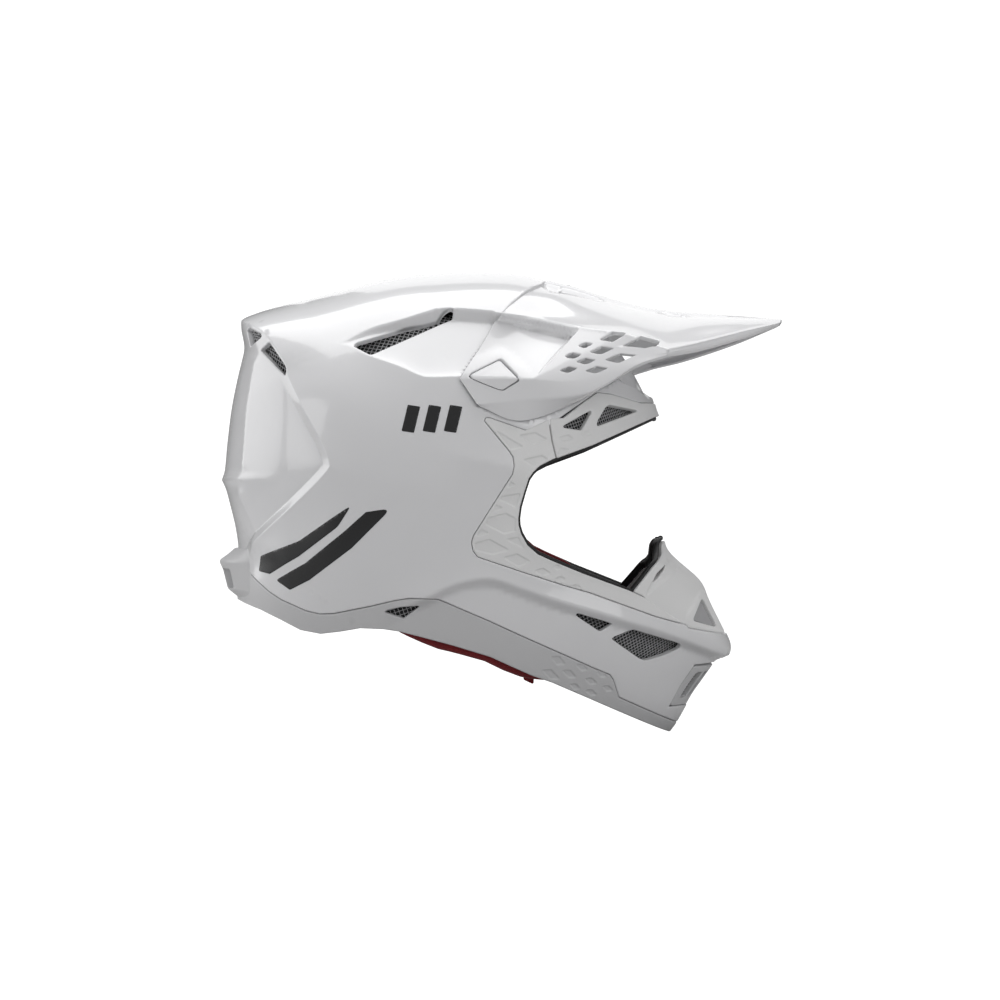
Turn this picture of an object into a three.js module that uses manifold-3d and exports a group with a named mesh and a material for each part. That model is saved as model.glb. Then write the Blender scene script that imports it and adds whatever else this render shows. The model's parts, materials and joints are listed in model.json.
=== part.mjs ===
// Off-road (motocross) helmet: full-face shell with chin bar, adjustable peak, screened vents,
// EPS liner, slip liner, comfort liner, cheek pads and a double D-ring chin strap.
// Millimetres. +X is the way the wearer faces, +Y the wearer's left, +Z up.
// Origin: middle of the bottom of the bounding box.
import * as THREE from 'three';
import { mergeVertices } from 'three/addons/utils/BufferGeometryUtils.js';
import Module from 'manifold-3d';

const wasm = await Module();
wasm.setup();

// ---------------------------------------------------------------- driving dimensions
const HALF_WIDTH = 121;                  // shell half width at its widest
const CENTRE_X = -48.45;                 // polar centre of the shell profile
const CENTRE_Z = 172.45;
const WALL = 3.5;                        // shell and trim wall
const GAP = 0.35;                        // joint gap between neighbouring pieces
const REACH = 160;                       // cutters run past both sides of the shell

// Depths below the outer surface of the shell
const SCREEN_DEPTH = [3.9, 4.9];         // vent screens, just inside the wall
const SEAL_DEPTH = [3.9, 6.6];
const FILTER_DEPTH = [4.0, 5.2];
const INSERT_DEPTH = [0.6, 2.6];
const GRILLE_DEPTH = [0.3, WALL];
const FOAM_DEPTH = 5.4;
const NECK_ROLL_DEPTH = 6;

// Head form: centre and widest level, half length, half width and dome height
const HEAD = { x: -40.3, z: 179.2, length: 97, width: 76, dome: 87 };

// Clearances from the head form
const NECK_CLEAR = 1;
const COMFORT_OUT = 8;
const SLIP_IN = 9.5;
const SLIP_OUT = 10.5;
const FOAM_IN = 12.5;

const PIVOT_X = -5.4;                    // peak pivot, which is also the side screw axis
const PIVOT_Z = 238.8;
const SCREW_ANGLE = 48.7;                // centre screw axis above +X, through the pivot
const SCREW_HOLE_RADIUS = 2.8;
const SHANK_RADIUS = 2.3;
const NUT_BORE_RADIUS = 2.6;
const PEAK_CLEAR = 0.8;
const PEAK_THICKNESS = 2.4;
const PEAK_TILTS = [-1, 2.5, 6];         // degrees front up at which the peak clears the shell

const STRAP_X = -53;                     // middle of the webbing width
const STRAP_HALF_WIDTH = 12.5;
const STRAP_THICKNESS = 2;
const ANCHOR_Z = 114;                    // strap pivots (bolt axis)

const MOUTH = { halfWidth: 31, bottom: 20, top: 47.5 };

const SIDES = [['right', -1], ['left', 1]];

// ---------------------------------------------------------------- shell profile tables
// Polar angle in degrees (0 is forward, 90 is up), radius
const RADIUS_KNOTS = [
  [-47, 236.6], [-38, 230.5], [-33, 231.2], [-29.8, 233.2], [-27, 223.0], [-26, 217.6],
  [-23.5, 206.7], [-20.1, 194.5], [-18.9, 182.9], [-16.5, 168.0], [-14.7, 164.6], [-8, 163.2],
  [0, 161.8], [10, 160.8], [16, 160.5], [20, 161.0], [25, 160.3], [35, 159.5], [45, 158.1],
  [58.6, 156.4], [66.2, 151.9], [73.8, 146.5], [81.8, 142.1], [90, 139.4], [98.4, 138.9],
  [104.2, 139.1], [112.7, 140.8], [118.3, 143.3], [123.7, 147.1], [128.5, 152.3],
  [133.3, 158.1], [136.7, 162.5], [140, 165.6], [144.8, 153.7], [151.8, 147.4],
  [158.3, 143.5], [166.7, 140.1], [174.4, 138.4], [180, 137.0], [186.7, 136.0], [192, 135.7],
  [198.6, 137.4], [205, 144.2], [212, 153.7], [225, 173.4], [240, 197.2], [255, 216.2],
  [270, 227.8], [285, 234.6], [300, 238.0],
];
// Polar angle in degrees, roundness exponent along the radius, roundness exponent across
const ROUNDNESS_KNOTS = [
  [-47, 1.75, 1.75], [-20, 1.75, 1.75], [0, 2.1, 2.0], [20, 2.2, 2.0], [45, 2.3, 2.0],
  [90, 2.35, 2.0], [140, 2.3, 2.0], [180, 2.3, 2.0], [212, 2.3, 2.0], [250, 2.2, 2.0],
  [290, 2.0, 1.9],
];
// Mesh stations: polar angles, and levels from the side pole (0) to the mid plane (1)
const MESH_ANGLES = [
  -47, -41, -35, -30, -26, -21.5, -17, -14, -6, 4, 15, 27, 40, 53, 66, 79, 92, 105, 118, 130,
  137, 140, 144, 152, 162, 174, 187, 197, 204, 213, 226, 240, 255, 270, 286, 301,
];
const MESH_LEVELS = [0.2, 0.4, 0.58, 0.74, 0.88, 0.96];

// ---------------------------------------------------------------- side view outlines (x, z)
// Joint between the shell and the eye port pieces, from the brow round to the chin
const TRIM = [
  [52.5, 222.3], [40.0, 212.4], [31.3, 206.7], [26.0, 203.4], [22.0, 202.4], [15.4, 203.9],
  [-7.5, 211.8], [-10.5, 211.8], [-10.8, 209.3], [4.9, 190.3], [7.4, 186.2], [8.0, 180.7],
  [6.9, 175.2], [-18.0, 135.9], [-19.3, 131.2], [-18.3, 126.1], [-15.3, 122.2],
  [-10.2, 120.5], [12.7, 112.7], [39.2, 103.9], [57.6, 98.4], [100.2, 82.3], [121.6, 76.1],
];
// Edge of the eye port, from the brow round to the chin
const PORT = [
  [105.3, 215.6], [77.9, 203.0], [59.5, 194.6], [32.6, 184.7], [24.7, 180.6], [20.4, 176.6],
  [17.5, 172.4], [14.8, 164.1], [12.0, 154.3], [11.0, 147.0], [11.2, 142.4], [12.7, 137.2],
  [16.7, 129.9], [23.4, 124.0], [32.5, 119.8], [52.3, 111.5], [84.0, 99.4],
];
const NOSE_GUARD = [
  [86.9, 98.9], [106.8, 122.7], [108.0, 129.2], [110.4, 130.9], [113.4, 130.6],
  [124.3, 121.4], [135.2, 111.2], [148.8, 90.8], [165, 72], [165, 66.6], [148.5, 68.95],
  [123.2, 74.5], [121.8, 76.5], [101.2, 82.9], [94.0, 95.6],
];
const NOSE_GUARD_SLIT = [[96.5, 99.5], [107.8, 112.0], [103.2, 102.5]];
const NOSE_GUARD_INSERT = [[126.5, 96.0], [121.5, 83.0], [137.5, 76.8]];
// Joint between the shell and the lower edge band, back to front
const SEAM = [
  [-180.4, 128.2], [-174.3, 118.4], [-169.6, 113.3], [-161.7, 106.2], [-151.9, 98.6],
  [-143.4, 93.6], [-126.8, 86.9], [-117.8, 85.0], [-109.0, 85.3], [-84.1, 90.4],
  [-68.2, 94.4], [-59.0, 96.0], [-51.1, 96.0], [-41.4, 94.7], [-34.7, 92.1], [-7.3, 80.4],
  [11.4, 71.6], [46.1, 55.6], [59.6, 49.2], [71.9, 43.8], [74.0, 40.6], [78.0, 28.5],
  [121.1, 7.6],
];
// Bottom edge of the helmet, back to front
const RIM = [
  [-176.5, 91.6], [-159.0, 86.4], [-144.8, 80.4], [-137.0, 76.46], [-125.0, 72.85],
  [-117.6, 71.4], [-104.4, 73.4], [-91.2, 75.8], [-76.3, 75.3], [-65.7, 73.6], [-51.3, 69.9],
  [-31.6, 64.6], [-7.3, 57.1], [19.3, 44.6], [33.5, 39.3], [58.3, 27.9], [82.0, 16.7],
  [103.5, 4.0], [118.0, -0.36],
];
const FRAME_TOP = [[52.5, 222.3], [62.6, 229.3], [72.1, 228.5], [92.1, 223.6], [103.9, 224.3]];
const FRAME_SIDE = [[30.9, 206.4], [31.4, 202.0], [32.6, 196.5], [35.0, 192.8], [36.4, 186.1]];

const CROWN_VENT = [
  [-96.1, 259.0], [-94.2, 261.0], [-33.3, 280.4], [-30.9, 279.7], [-32.6, 277.2],
  [-83.9, 253.1], [-85.1, 253.2],
];
const REAR_VENT_UPPER = [
  [-169.2, 272.2], [-168.2, 273.0], [-159.0, 268.8], [-158.6, 266.6], [-167.0, 260.9],
];
const REAR_VENT_LOWER = [
  [-159.0, 257.4], [-153.1, 262.7], [-141.9, 247.3], [-140.6, 244.6], [-140.9, 239.4],
  [-150.7, 249.2],
];
const CHIN_VENT_UPPER = [
  [48.5, 83.8], [49.6, 85.0], [71.9, 78.0], [72.5, 77.4], [65.5, 73.3], [63.8, 73.4],
];
const CHIN_VENT_LOWER = [
  [72.6, 67.6], [73.5, 68.8], [84.9, 73.1], [87.0, 73.4], [118.0, 63.4], [119.3, 62.0],
  [118.2, 60.0], [109.4, 56.3], [98.2, 53.2], [94.7, 52.9], [91.2, 54.3],
];
const CHIN_SCREEN = [
  [46, 83.6], [49, 87.2], [76, 79], [88, 75.8], [121, 65.2], [122, 60.5], [110, 54.2],
  [97, 50.8], [90, 52.2], [70, 66.4], [63, 71],
];
const BROW_VENT_FRONT = [
  [62.0, 207.7], [62.7, 210.8], [68.3, 219.2], [70.6, 220.6], [88.0, 218.0], [88.9, 217.2],
];
const BROW_VENT_BACK = [[40.2, 206.0], [57.8, 216.6], [58.2, 215.3], [51.8, 204.8]];
const BROW_SCREEN = [
  [36.5, 205.2], [58, 218.6], [68.5, 222.2], [71, 222.8], [90.5, 220], [91.6, 216],
  [62, 205], [52, 202.6],
];
const BASE_VENT = [[-75.5, 86.5], [-73.6, 87.6], [-64.3, 89.9], [-51.5, 90.6], [-63.0, 82.2]];

const EXHAUST = [
  [-170, 126.5], [-181.2, 126.5], [-184.7, 122.9], [-191.7, 118.0], [-188.5, 111.5],
  [-185.4, 99.0], [-178.0, 93.2], [-170, 93.2],
];
const FOAM = [
  [-215, 330], [-215, 112], [-150, 109], [-112, 106], [-76, 108], [-66, 120], [-37, 122],
  [-36, 132.4], [2.4, 132.8], [1.1, 158.8], [5, 171.8], [13.5, 182.8], [36.5, 194.8],
  [62.8, 205.4], [88.5, 217.7], [108.5, 227], [129.4, 240], [150, 330],
];
const FOAM_CROWN_CHANNEL = [[-90, 252], [-33, 276], [-36, 270], [-80, 246]];
const CHIN_FOAM = [
  [38.2, 93.7], [64.3, 91.1], [122.8, 72.9], [152.1, 61.2], [129.4, 28.6], [115, 14.3],
  [90.3, 20.8], [64.3, 31.9], [38.2, 44.9],
];
const LINER = [
  [-200, 320], [-200, 121], [-112, 116], [-78, 118], [-72, 134], [-33, 136], [-3, 140],
  [-3, 160], [6, 176], [20, 187], [40, 196.5], [70, 205], [110, 215], [110, 320],
];
const NECK_ROLL = [
  [-215, 108.6], [-150, 105.6], [-112, 102.4], [-76, 104.4], [-75, 84], [-91, 80.8],
  [-104.4, 78.4], [-117.6, 76.6], [-131.1, 79], [-144.8, 85.4], [-159, 91.4], [-215, 100],
];
const CHEEK_PAD = [
  [-35.6, 129.5], [4, 129.5], [16, 124.5], [28, 116], [60, 103], [60, 30], [46, 33.5],
  [28, 42], [8, 50.5], [-10, 57.5], [-35.6, 66.5],
];
const CHEEK_PAD_NOTCH = [[14, 20], [22, 20], [22, 52], [14, 56]];
const PULL_TAB = [[14.6, 40.5], [21.4, 37.3], [21.4, 51.4], [14.6, 55.0]];
const CHEEK_FOAM = [
  [-35.6, 130], [3, 130], [12, 124], [24, 114.5], [37.4, 108], [37.4, 46], [11, 60],
  [-8, 68], [-35.6, 78],
];
const PEAK_CAP = [
  [-20.8, 239.0], [-0.9, 249.5], [9.5, 238.6], [11.2, 235.9], [1.3, 229.5], [-1.4, 229.8],
  [-17.8, 236.3],
];
const PERFORATIONS = [
  [[62.4, 261.7], [69.6, 264.9], [78.1, 263.1], [70.6, 259.7]],
  [[49.0, 258.6], [54.2, 260.2], [58.7, 259.2], [53.9, 257.0]],
  [[56.6, 254.4], [64.1, 257.4], [71.5, 255.7], [63.8, 252.5]],
  [[76.2, 256.4], [86.2, 260.8], [98.2, 258.0], [88.5, 253.7]],
  [[41.0, 252.5], [46.1, 254.3], [51.6, 252.9], [47.4, 250.5]],
  [[48.1, 248.8], [54.2, 250.7], [60.3, 249.3], [54.8, 246.7]],
  [[66.4, 249.2], [74.7, 252.4], [83.8, 250.3], [74.7, 246.8]],
  [[38.0, 243.4], [43.5, 245.6], [49.0, 244.4], [43.8, 241.4]],
  [[53.9, 242.7], [61.0, 245.3], [67.7, 243.7], [60.8, 240.8]],
];

// ---------------------------------------------------------------- shell surface
const DEG = Math.PI / 180;

// Monotone cubic through knots of [degrees, ...values], repeating every 360 degrees
function periodicCurve(knots) {
  const first = knots[0][0], columns = knots[0].length - 1;
  const angles = [], values = [];
  for (const turn of [-360, 0, 360]) {
    for (const [angle, ...rest] of knots) {
      angles.push(angle + turn);
      values.push(rest);
    }
  }
  const slopes = values.map(() => new Array(columns).fill(0));
  for (let i = 1; i < angles.length - 1; i++) {
    const before = angles[i] - angles[i - 1], after = angles[i + 1] - angles[i];
    for (let c = 0; c < columns; c++) {
      const slopeIn = (values[i][c] - values[i - 1][c]) / before;
      const slopeOut = (values[i + 1][c] - values[i][c]) / after;
      if (slopeIn * slopeOut > 0) {
        const weightIn = 2 * after + before, weightOut = after + 2 * before;
        slopes[i][c] = (weightIn + weightOut) / (weightIn / slopeIn + weightOut / slopeOut);
      }
    }
  }
  return angle => {
    const wrapped = ((angle - first) % 360 + 360) % 360 + first;
    let i = knots.length;
    while (i < angles.length - 2 && angles[i + 1] <= wrapped) i++;
    const width = angles[i + 1] - angles[i], s = (wrapped - angles[i]) / width;
    return values[i].map((value, c) =>
      value * (2 * s ** 3 - 3 * s ** 2 + 1)
      + width * slopes[i][c] * (s ** 3 - 2 * s ** 2 + s)
      + values[i + 1][c] * (-2 * s ** 3 + 3 * s ** 2)
      + width * slopes[i + 1][c] * (s ** 3 - s ** 2));
  };
}
const radiusAt = periodicCurve(RADIUS_KNOTS);
const roundnessAt = periodicCurve(ROUNDNESS_KNOTS);

// Side view share of the shell's implicit function: 0 at the centre, 1 on the profile
function profileLevel(x, z) {
  const dx = x - CENTRE_X, dz = z - CENTRE_Z, distance = Math.hypot(dx, dz);
  if (distance < 1e-9) return 0;
  const angle = Math.atan2(dz, dx) / DEG;
  return (distance / radiusAt(angle)[0]) ** roundnessAt(angle)[0];
}

// Point on the shell surface, moved outward along the surface normal by offset
function shellPoint(angle, level, side, offset) {
  const radius = radiusAt(angle)[0];
  const [along, across] = roundnessAt(angle);
  const reach = Math.sin(level * Math.PI / 2);
  const x = CENTRE_X + reach * radius * Math.cos(angle * DEG);
  const z = CENTRE_Z + reach * radius * Math.sin(angle * DEG);
  const y = HALF_WIDTH * Math.max(0, 1 - reach ** along) ** (1 / across);
  let nx = 0, ny = 1, nz = 0;
  if (level !== 0) {
    const step = 0.4;
    nx = (profileLevel(x + step, z) - profileLevel(x - step, z)) / (2 * step);
    nz = (profileLevel(x, z + step) - profileLevel(x, z - step)) / (2 * step);
    ny = y > 1e-6 ? across * y ** (across - 1) / HALF_WIDTH ** across : 0;
  }
  const length = Math.hypot(nx, ny, nz);
  return [
    x + offset * nx / length,
    side * (y + offset * ny / length),
    z + offset * nz / length,
  ];
}

// ---------------------------------------------------------------- solids
function solid(geometry) {
  const bare = geometry.clone();
  for (const key of Object.keys(bare.attributes)) {
    if (key !== 'position') bare.deleteAttribute(key);
  }
  const merged = mergeVertices(bare, 1e-4);
  return new wasm.Manifold(new wasm.Mesh({
    numProp: 3,
    vertProperties: new Float32Array(merged.attributes.position.array),
    triVerts: new Uint32Array(merged.index.array),
  }));
}

function fromArrays(points, triangles) {
  const geometry = new THREE.BufferGeometry();
  geometry.setAttribute('position', new THREE.Float32BufferAttribute(points.flat(), 3));
  geometry.setIndex(triangles.flat());
  return solid(geometry);
}

// The filled shell shape, its surface moved outward by offset
const bodyCache = new Map();
function body(offset) {
  if (bodyCache.has(offset)) return bodyCache.get(offset);
  const rings = [
    ...MESH_LEVELS.map(level => [level, 1]),
    [1, 1],
    ...backwards(MESH_LEVELS).map(level => [level, -1]),
  ];
  const points = [shellPoint(0, 0, 1, offset)];
  for (const [level, side] of rings) {
    for (const angle of MESH_ANGLES) points.push(shellPoint(angle, level, side, offset));
  }
  points.push(shellPoint(0, 0, -1, offset));

  const count = MESH_ANGLES.length, rightPole = points.length - 1;
  const at = (ring, i) => 1 + ring * count + (i % count);
  const triangles = [];
  for (let i = 0; i < count; i++) {
    triangles.push([0, at(0, i + 1), at(0, i)]);
    for (let r = 0; r < rings.length - 1; r++) {
      triangles.push([at(r, i), at(r, i + 1), at(r + 1, i + 1)]);
      triangles.push([at(r, i), at(r + 1, i + 1), at(r + 1, i)]);
    }
    triangles.push([rightPole, at(rings.length - 1, i), at(rings.length - 1, i + 1)]);
  }
  const result = fromArrays(points, triangles);
  bodyCache.set(offset, result);
  return result;
}

// Skin that follows the shell between two depths below its surface
const layer = ([outer, inner]) => body(-outer).subtract(body(-inner));

function extrude(outline, depth) {
  const shape = new THREE.Shape(outline.map(([u, v]) => new THREE.Vector2(u, v)));
  return new THREE.ExtrudeGeometry(shape, { depth, bevelEnabled: false });
}
function prismXZ(outline, y0, y1) {
  return solid(extrude(outline, y1 - y0).rotateX(Math.PI / 2).translate(0, y1, 0));
}
function prismXY(outline, z0, z1) {
  return solid(extrude(outline, z1 - z0).translate(0, 0, z0));
}
function prismYZ(outline, x0, x1) {
  const axes = new THREE.Matrix4().set(0, 0, 1, x0, 1, 0, 0, 0, 0, 1, 0, 0, 0, 0, 0, 1);
  return solid(extrude(outline, x1 - x0).applyMatrix4(axes));
}
const through = outline => prismXZ(outline, -REACH, REACH);

// near and far are distances from the mid plane, towards one side
const span = (side, near, far) => (side > 0 ? [near, far] : [-far, -near]);
const sidePrism = (outline, side, near, far) => prismXZ(outline, ...span(side, near, far));

function box([x0, x1], [y0, y1], [z0, z1]) {
  const geometry = new THREE.BoxGeometry(x1 - x0, y1 - y0, z1 - z0);
  return solid(geometry.translate((x0 + x1) / 2, (y0 + y1) / 2, (z0 + z1) / 2));
}
const halfSpace = (side, near = 0) => box([-260, 260], span(side, near, REACH), [-80, 400]);

function cylinderY(x, z, side, { radius, from, to, segments }) {
  const geometry = new THREE.CylinderGeometry(radius, radius, to - from, segments);
  return solid(geometry.translate(x, side * (from + to) / 2, z));
}
const pivotCylinder = (side, sizes) => cylinderY(PIVOT_X, PIVOT_Z, side, sizes);
const anchorCylinder = (side, sizes) => cylinderY(STRAP_X, ANCHOR_Z, side, sizes);

// Cylinder along the centre screw axis; from and to are distances from the pivot
function centreCylinder({ radius, from, to, segments }) {
  const geometry = new THREE.CylinderGeometry(radius, radius, to - from, segments);
  geometry.translate(0, (from + to) / 2, 0);
  geometry.rotateZ(-(90 - SCREW_ANGLE) * DEG);
  geometry.rotateX(Math.PI / 2);
  return solid(geometry.translate(PIVOT_X, 0, PIVOT_Z));
}

// Domed head form with a straight lower part, grown by clearance
function headForm(clearance) {
  const profile = [new THREE.Vector2(0, -1.6), new THREE.Vector2(1, -1.6)];
  for (const angle of [90, 72, 56, 42, 28, 14]) {
    profile.push(new THREE.Vector2(Math.sin(angle * DEG), Math.cos(angle * DEG)));
  }
  profile.push(new THREE.Vector2(0, 1));
  const geometry = new THREE.LatheGeometry(profile, 28);
  geometry.rotateX(Math.PI / 2);
  geometry.scale(HEAD.length + clearance, HEAD.width + clearance, HEAD.dome + clearance);
  return solid(geometry.translate(HEAD.x, 0, HEAD.z));
}

// ---------------------------------------------------------------- outlines
function backwards(points) {
  return points.slice().reverse();
}

function direction(from, to) {
  const length = Math.hypot(to[0] - from[0], to[1] - from[1]) || 1;
  return [(to[0] - from[0]) / length, (to[1] - from[1]) / length];
}

// Open polyline moved to its left, with mitred corners
function offsetLine(points, distance) {
  const last = points.length - 1;
  return points.map((point, i) => {
    const before = points[Math.max(0, i - 1)], after = points[Math.min(last, i + 1)];
    const arriving = i > 0 ? direction(before, point) : direction(point, after);
    const leaving = i < last ? direction(point, after) : direction(before, point);
    let nx = -(arriving[1] + leaving[1]), ny = arriving[0] + leaving[0];
    const length = Math.hypot(nx, ny) || 1;
    nx /= length;
    ny /= length;
    const mitre = Math.max(0.5, nx * -arriving[1] + ny * arriving[0]);
    return [point[0] + nx * distance / mitre, point[1] + ny * distance / mitre];
  });
}

// Closed outline grown by distance, whichever way round it runs
function grow(points, distance) {
  let area = 0;
  points.forEach((point, i) => {
    const next = points[(i + 1) % points.length];
    area += point[0] * next[1] - next[0] * point[1];
  });
  const loop = [points[points.length - 1], ...points, points[0]];
  return offsetLine(loop, area > 0 ? -distance : distance).slice(1, -1);
}

const mirrorPlan = (plan, side) => plan.map(([x, y]) => [x, side * y]);
const bothSides = build => build(1).add(build(-1));

// ---------------------------------------------------------------- pieces
const MATERIALS = {
  shell: { color: 0xf2f2f2, roughness: 0.18 },
  peak: { color: 0xf2f2f2, roughness: 0.2 },
  trim: { color: 0xd9d8d4, roughness: 0.45 },
  guard: { color: 0xd9d8d4, roughness: 0.5 },
  insert: { color: 0x8c8c8e, roughness: 0.8 },
  rubber: { color: 0x1b1b1d, roughness: 0.8 },
  strapPad: { color: 0x1b1b1d, roughness: 0.95 },
  blackScrew: { color: 0x1b1b1d, roughness: 0.4 },
  screen: { color: 0x4a4a4c, roughness: 0.6, metalness: 0.3 },
  filter: { color: 0x4a4a4c, roughness: 0.9 },
  foam: { color: 0x8c8c8e, roughness: 0.95 },
  slip: { color: 0xd8dde2, roughness: 0.3 },
  fabric: { color: 0x8a1016, roughness: 0.95 },
  webbing: { color: 0x222224, roughness: 0.9 },
  steel: { color: 0xb8babd, roughness: 0.3, metalness: 1 },
  nut: { color: 0xb8babd, roughness: 0.35, metalness: 1 },
  ring: { color: 0xb8babd, roughness: 0.25, metalness: 1 },
};

const group = new THREE.Group();
group.name = 'motocross_helmet';

// Adds the largest connected part of a solid; cutting can leave loose slivers
function addPiece(name, manifold, material) {
  const [[largest]] = manifold.decompose()
    .map(part => [part, part.volume()])
    .sort((a, b) => b[1] - a[1]);
  const { vertProperties, triVerts } = largest.getMesh();
  const geometry = new THREE.BufferGeometry();
  geometry.setAttribute('position',
    new THREE.BufferAttribute(new Float32Array(vertProperties), 3));
  geometry.setIndex(new THREE.BufferAttribute(new Uint32Array(triVerts), 1));
  geometry.computeVertexNormals();
  const mesh = new THREE.Mesh(geometry,
    new THREE.MeshStandardMaterial({ metalness: 0, ...MATERIALS[material], flatShading: true }));
  mesh.name = name;
  group.add(mesh);
}

const wall = layer([0, WALL]);

// Opening in the chin bar, grown or shrunk by margins
function mouthBlock(sideMargin, bottomMargin, topMargin) {
  const half = MOUTH.halfWidth + sideMargin;
  return box([100, 200], [-half, half], [MOUTH.bottom - bottomMargin, MOUTH.top + topMargin]);
}

// ---- outer shell, with its vents, screw holes and the mouth window
function outerShell() {
  const aboveSeam = through([
    [-240, 129], ...SEAM, [135, -4], [240, -4], [240, 400], [-240, 400],
  ]);
  const eyePort = through([
    [240, 224.5], ...backwards(FRAME_TOP), ...TRIM.slice(1),
    [123.0, 74.1], [148.5, 68.5], [240, 55],
  ]);
  let shell = wall.intersect(aboveSeam).subtract(eyePort).subtract(mouthBlock(0, 0, 0));
  const vents = [
    CROWN_VENT, REAR_VENT_UPPER, REAR_VENT_LOWER, CHIN_VENT_UPPER, CHIN_VENT_LOWER,
  ];
  for (const vent of vents) shell = shell.subtract(through(vent));
  const hole = { radius: SCREW_HOLE_RADIUS, segments: 16 };
  for (const [, side] of SIDES) {
    shell = shell.subtract(pivotCylinder(side, { ...hole, from: 90, to: 130 }));
  }
  return shell.subtract(centreCylinder({ ...hole, from: 60, to: 90 }));
}
addPiece('outer_shell', outerShell(), 'shell');

// ---- lower edge band and rear exhaust
function baseTrim() {
  const region = through([
    [-240, 128.6], ...SEAM.map(([x, z]) => [x, z - GAP]),
    [135, 1], [135, -5.46], ...backwards(RIM), [-240, 92],
  ]);
  return wall.intersect(region).subtract(through(BASE_VENT));
}
addPiece('base_trim', baseTrim(), 'trim');

function rearExhaust() {
  const halfWidth = 50, bulge = 32, steps = 16;
  const plan = [];
  for (let i = 0; i <= steps; i++) {
    const angle = (-90 + i * 180 / steps) * DEG;
    plan.push([-160 - bulge * Math.cos(angle) ** 0.55, halfWidth * Math.sin(angle)]);
  }
  plan.push([-150, halfWidth], [-150, -halfWidth]);
  // recess in the back face, split by two upright ribs
  const ribs = bothSides(side =>
    box([-200, -170], [side * 12 - 1.2, side * 12 + 1.2], [90, 120]));
  const recess = box([-196, -181.5], [-38, 38], [99.5, 113]).subtract(ribs);
  return prismXZ(EXHAUST, -halfWidth, halfWidth)
    .intersect(prismXY(plan, 80, 140))
    .subtract(body(0.4))
    .subtract(recess);
}
addPiece('rear_exhaust', rearExhaust(), 'trim');

// ---- eye port: brow frame, side trims, nose guard, rubber seal
function browFrame() {
  const region = through([
    ...FRAME_TOP.map(([x, z]) => [x, z - GAP]),
    [240, 224], [240, 215.6], ...PORT.slice(0, 3),
    ...backwards(FRAME_SIDE).map(([x, z]) => [x + GAP, z]), [40.2, 212.0],
  ]);
  return wall.intersect(region)
    .subtract(through(BROW_VENT_FRONT))
    .subtract(through(BROW_VENT_BACK));
}
addPiece('brow_vent_frame', browFrame(), 'trim');

// The shell joint, eased inward by about the gap, then back along the port edge
const eyeportTrim = [
  ...TRIM.slice(3, 22).map(([x, z], i) => [
    x + (i > 3 ? GAP * 0.8 : 0),
    z - (i < 5 ? GAP : 0) + (i > 12 ? GAP * 0.9 : 0),
  ]),
  [93.2, 95.1], [86.3, 98.3],
  ...backwards(PORT.slice(3)),
  ...backwards(FRAME_SIDE),
];
for (const [name, side] of SIDES) {
  const trim = wall.intersect(through(eyeportTrim)).intersect(halfSpace(side));
  addPiece(`eyeport_trim_${name}`, trim, 'trim');
}

const noseGuard = wall.intersect(through(NOSE_GUARD))
  .subtract(through(NOSE_GUARD_SLIT))
  .subtract(through(NOSE_GUARD_INSERT));
addPiece('nose_guard', noseGuard, 'guard');
for (const [name, side] of SIDES) {
  const insert = layer(INSERT_DEPTH)
    .intersect(through(grow(NOSE_GUARD_INSERT, -GAP)))
    .intersect(halfSpace(side));
  addPiece(`nose_guard_insert_${name}`, insert, 'insert');
}

function eyeportSeal() {
  const outer = [
    [240, 220.2], [107.5, 220.2], ...offsetLine(PORT, -3.6).slice(1),
    [83.5, 95.0], [88, 94.2], [104.2, 113.5], [106.5, 117.5], [240, 117.5],
  ];
  const inner = [
    [240, 214.6],
    ...offsetLine([[120, 222], ...PORT, [88.0, 99.3]], 1.4).slice(1, -1),
    [88.5, 100.8], [109, 122.6], [110.4, 127.5], [112, 129], [240, 131],
  ];
  return layer(SEAL_DEPTH).intersect(through(outer)).subtract(through(inner));
}
addPiece('eyeport_seal', eyeportSeal(), 'rubber');

// ---- screens behind the vents, kept clear of the mid plane
const SCREEN_MID_CLEAR = 4;
const screenLayer = layer(SCREEN_DEPTH);
// Mesh name, outline, how far the screen laps past the outline
const SCREENS = [
  ['crown_vent_screen', CROWN_VENT, 2.2],
  ['rear_vent_screen_upper', REAR_VENT_UPPER, 1.6],
  ['rear_vent_screen_lower', REAR_VENT_LOWER, 1.6],
  ['chin_vent_screen', CHIN_SCREEN, 0],
  ['brow_vent_screen', BROW_SCREEN, 0],
  ['base_vent_screen', BASE_VENT, 1.4],
];
for (const [screenName, outline, lap] of SCREENS) {
  for (const [name, side] of SIDES) {
    const screen = screenLayer
      .intersect(through(grow(outline, lap)))
      .intersect(halfSpace(side, SCREEN_MID_CLEAR));
    addPiece(`${screenName}_${name}`, screen, 'screen');
  }
}

// ---- mouth vent: grille and filter behind it
function mouthGrille() {
  const slotPitch = 10, slotHalfWidth = 3.6;
  let grille = layer(GRILLE_DEPTH).intersect(mouthBlock(-GAP, -GAP, -GAP));
  for (let i = -2; i <= 2; i++) {
    const y = i * slotPitch;
    grille = grille.subtract(box([100, 200], [y - slotHalfWidth, y + slotHalfWidth], [27, 41]));
  }
  return grille;
}
addPiece('mouth_grille', mouthGrille(), 'guard');
addPiece('mouth_filter', layer(FILTER_DEPTH).intersect(mouthBlock(3, 2, 2.5)), 'filter');

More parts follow.
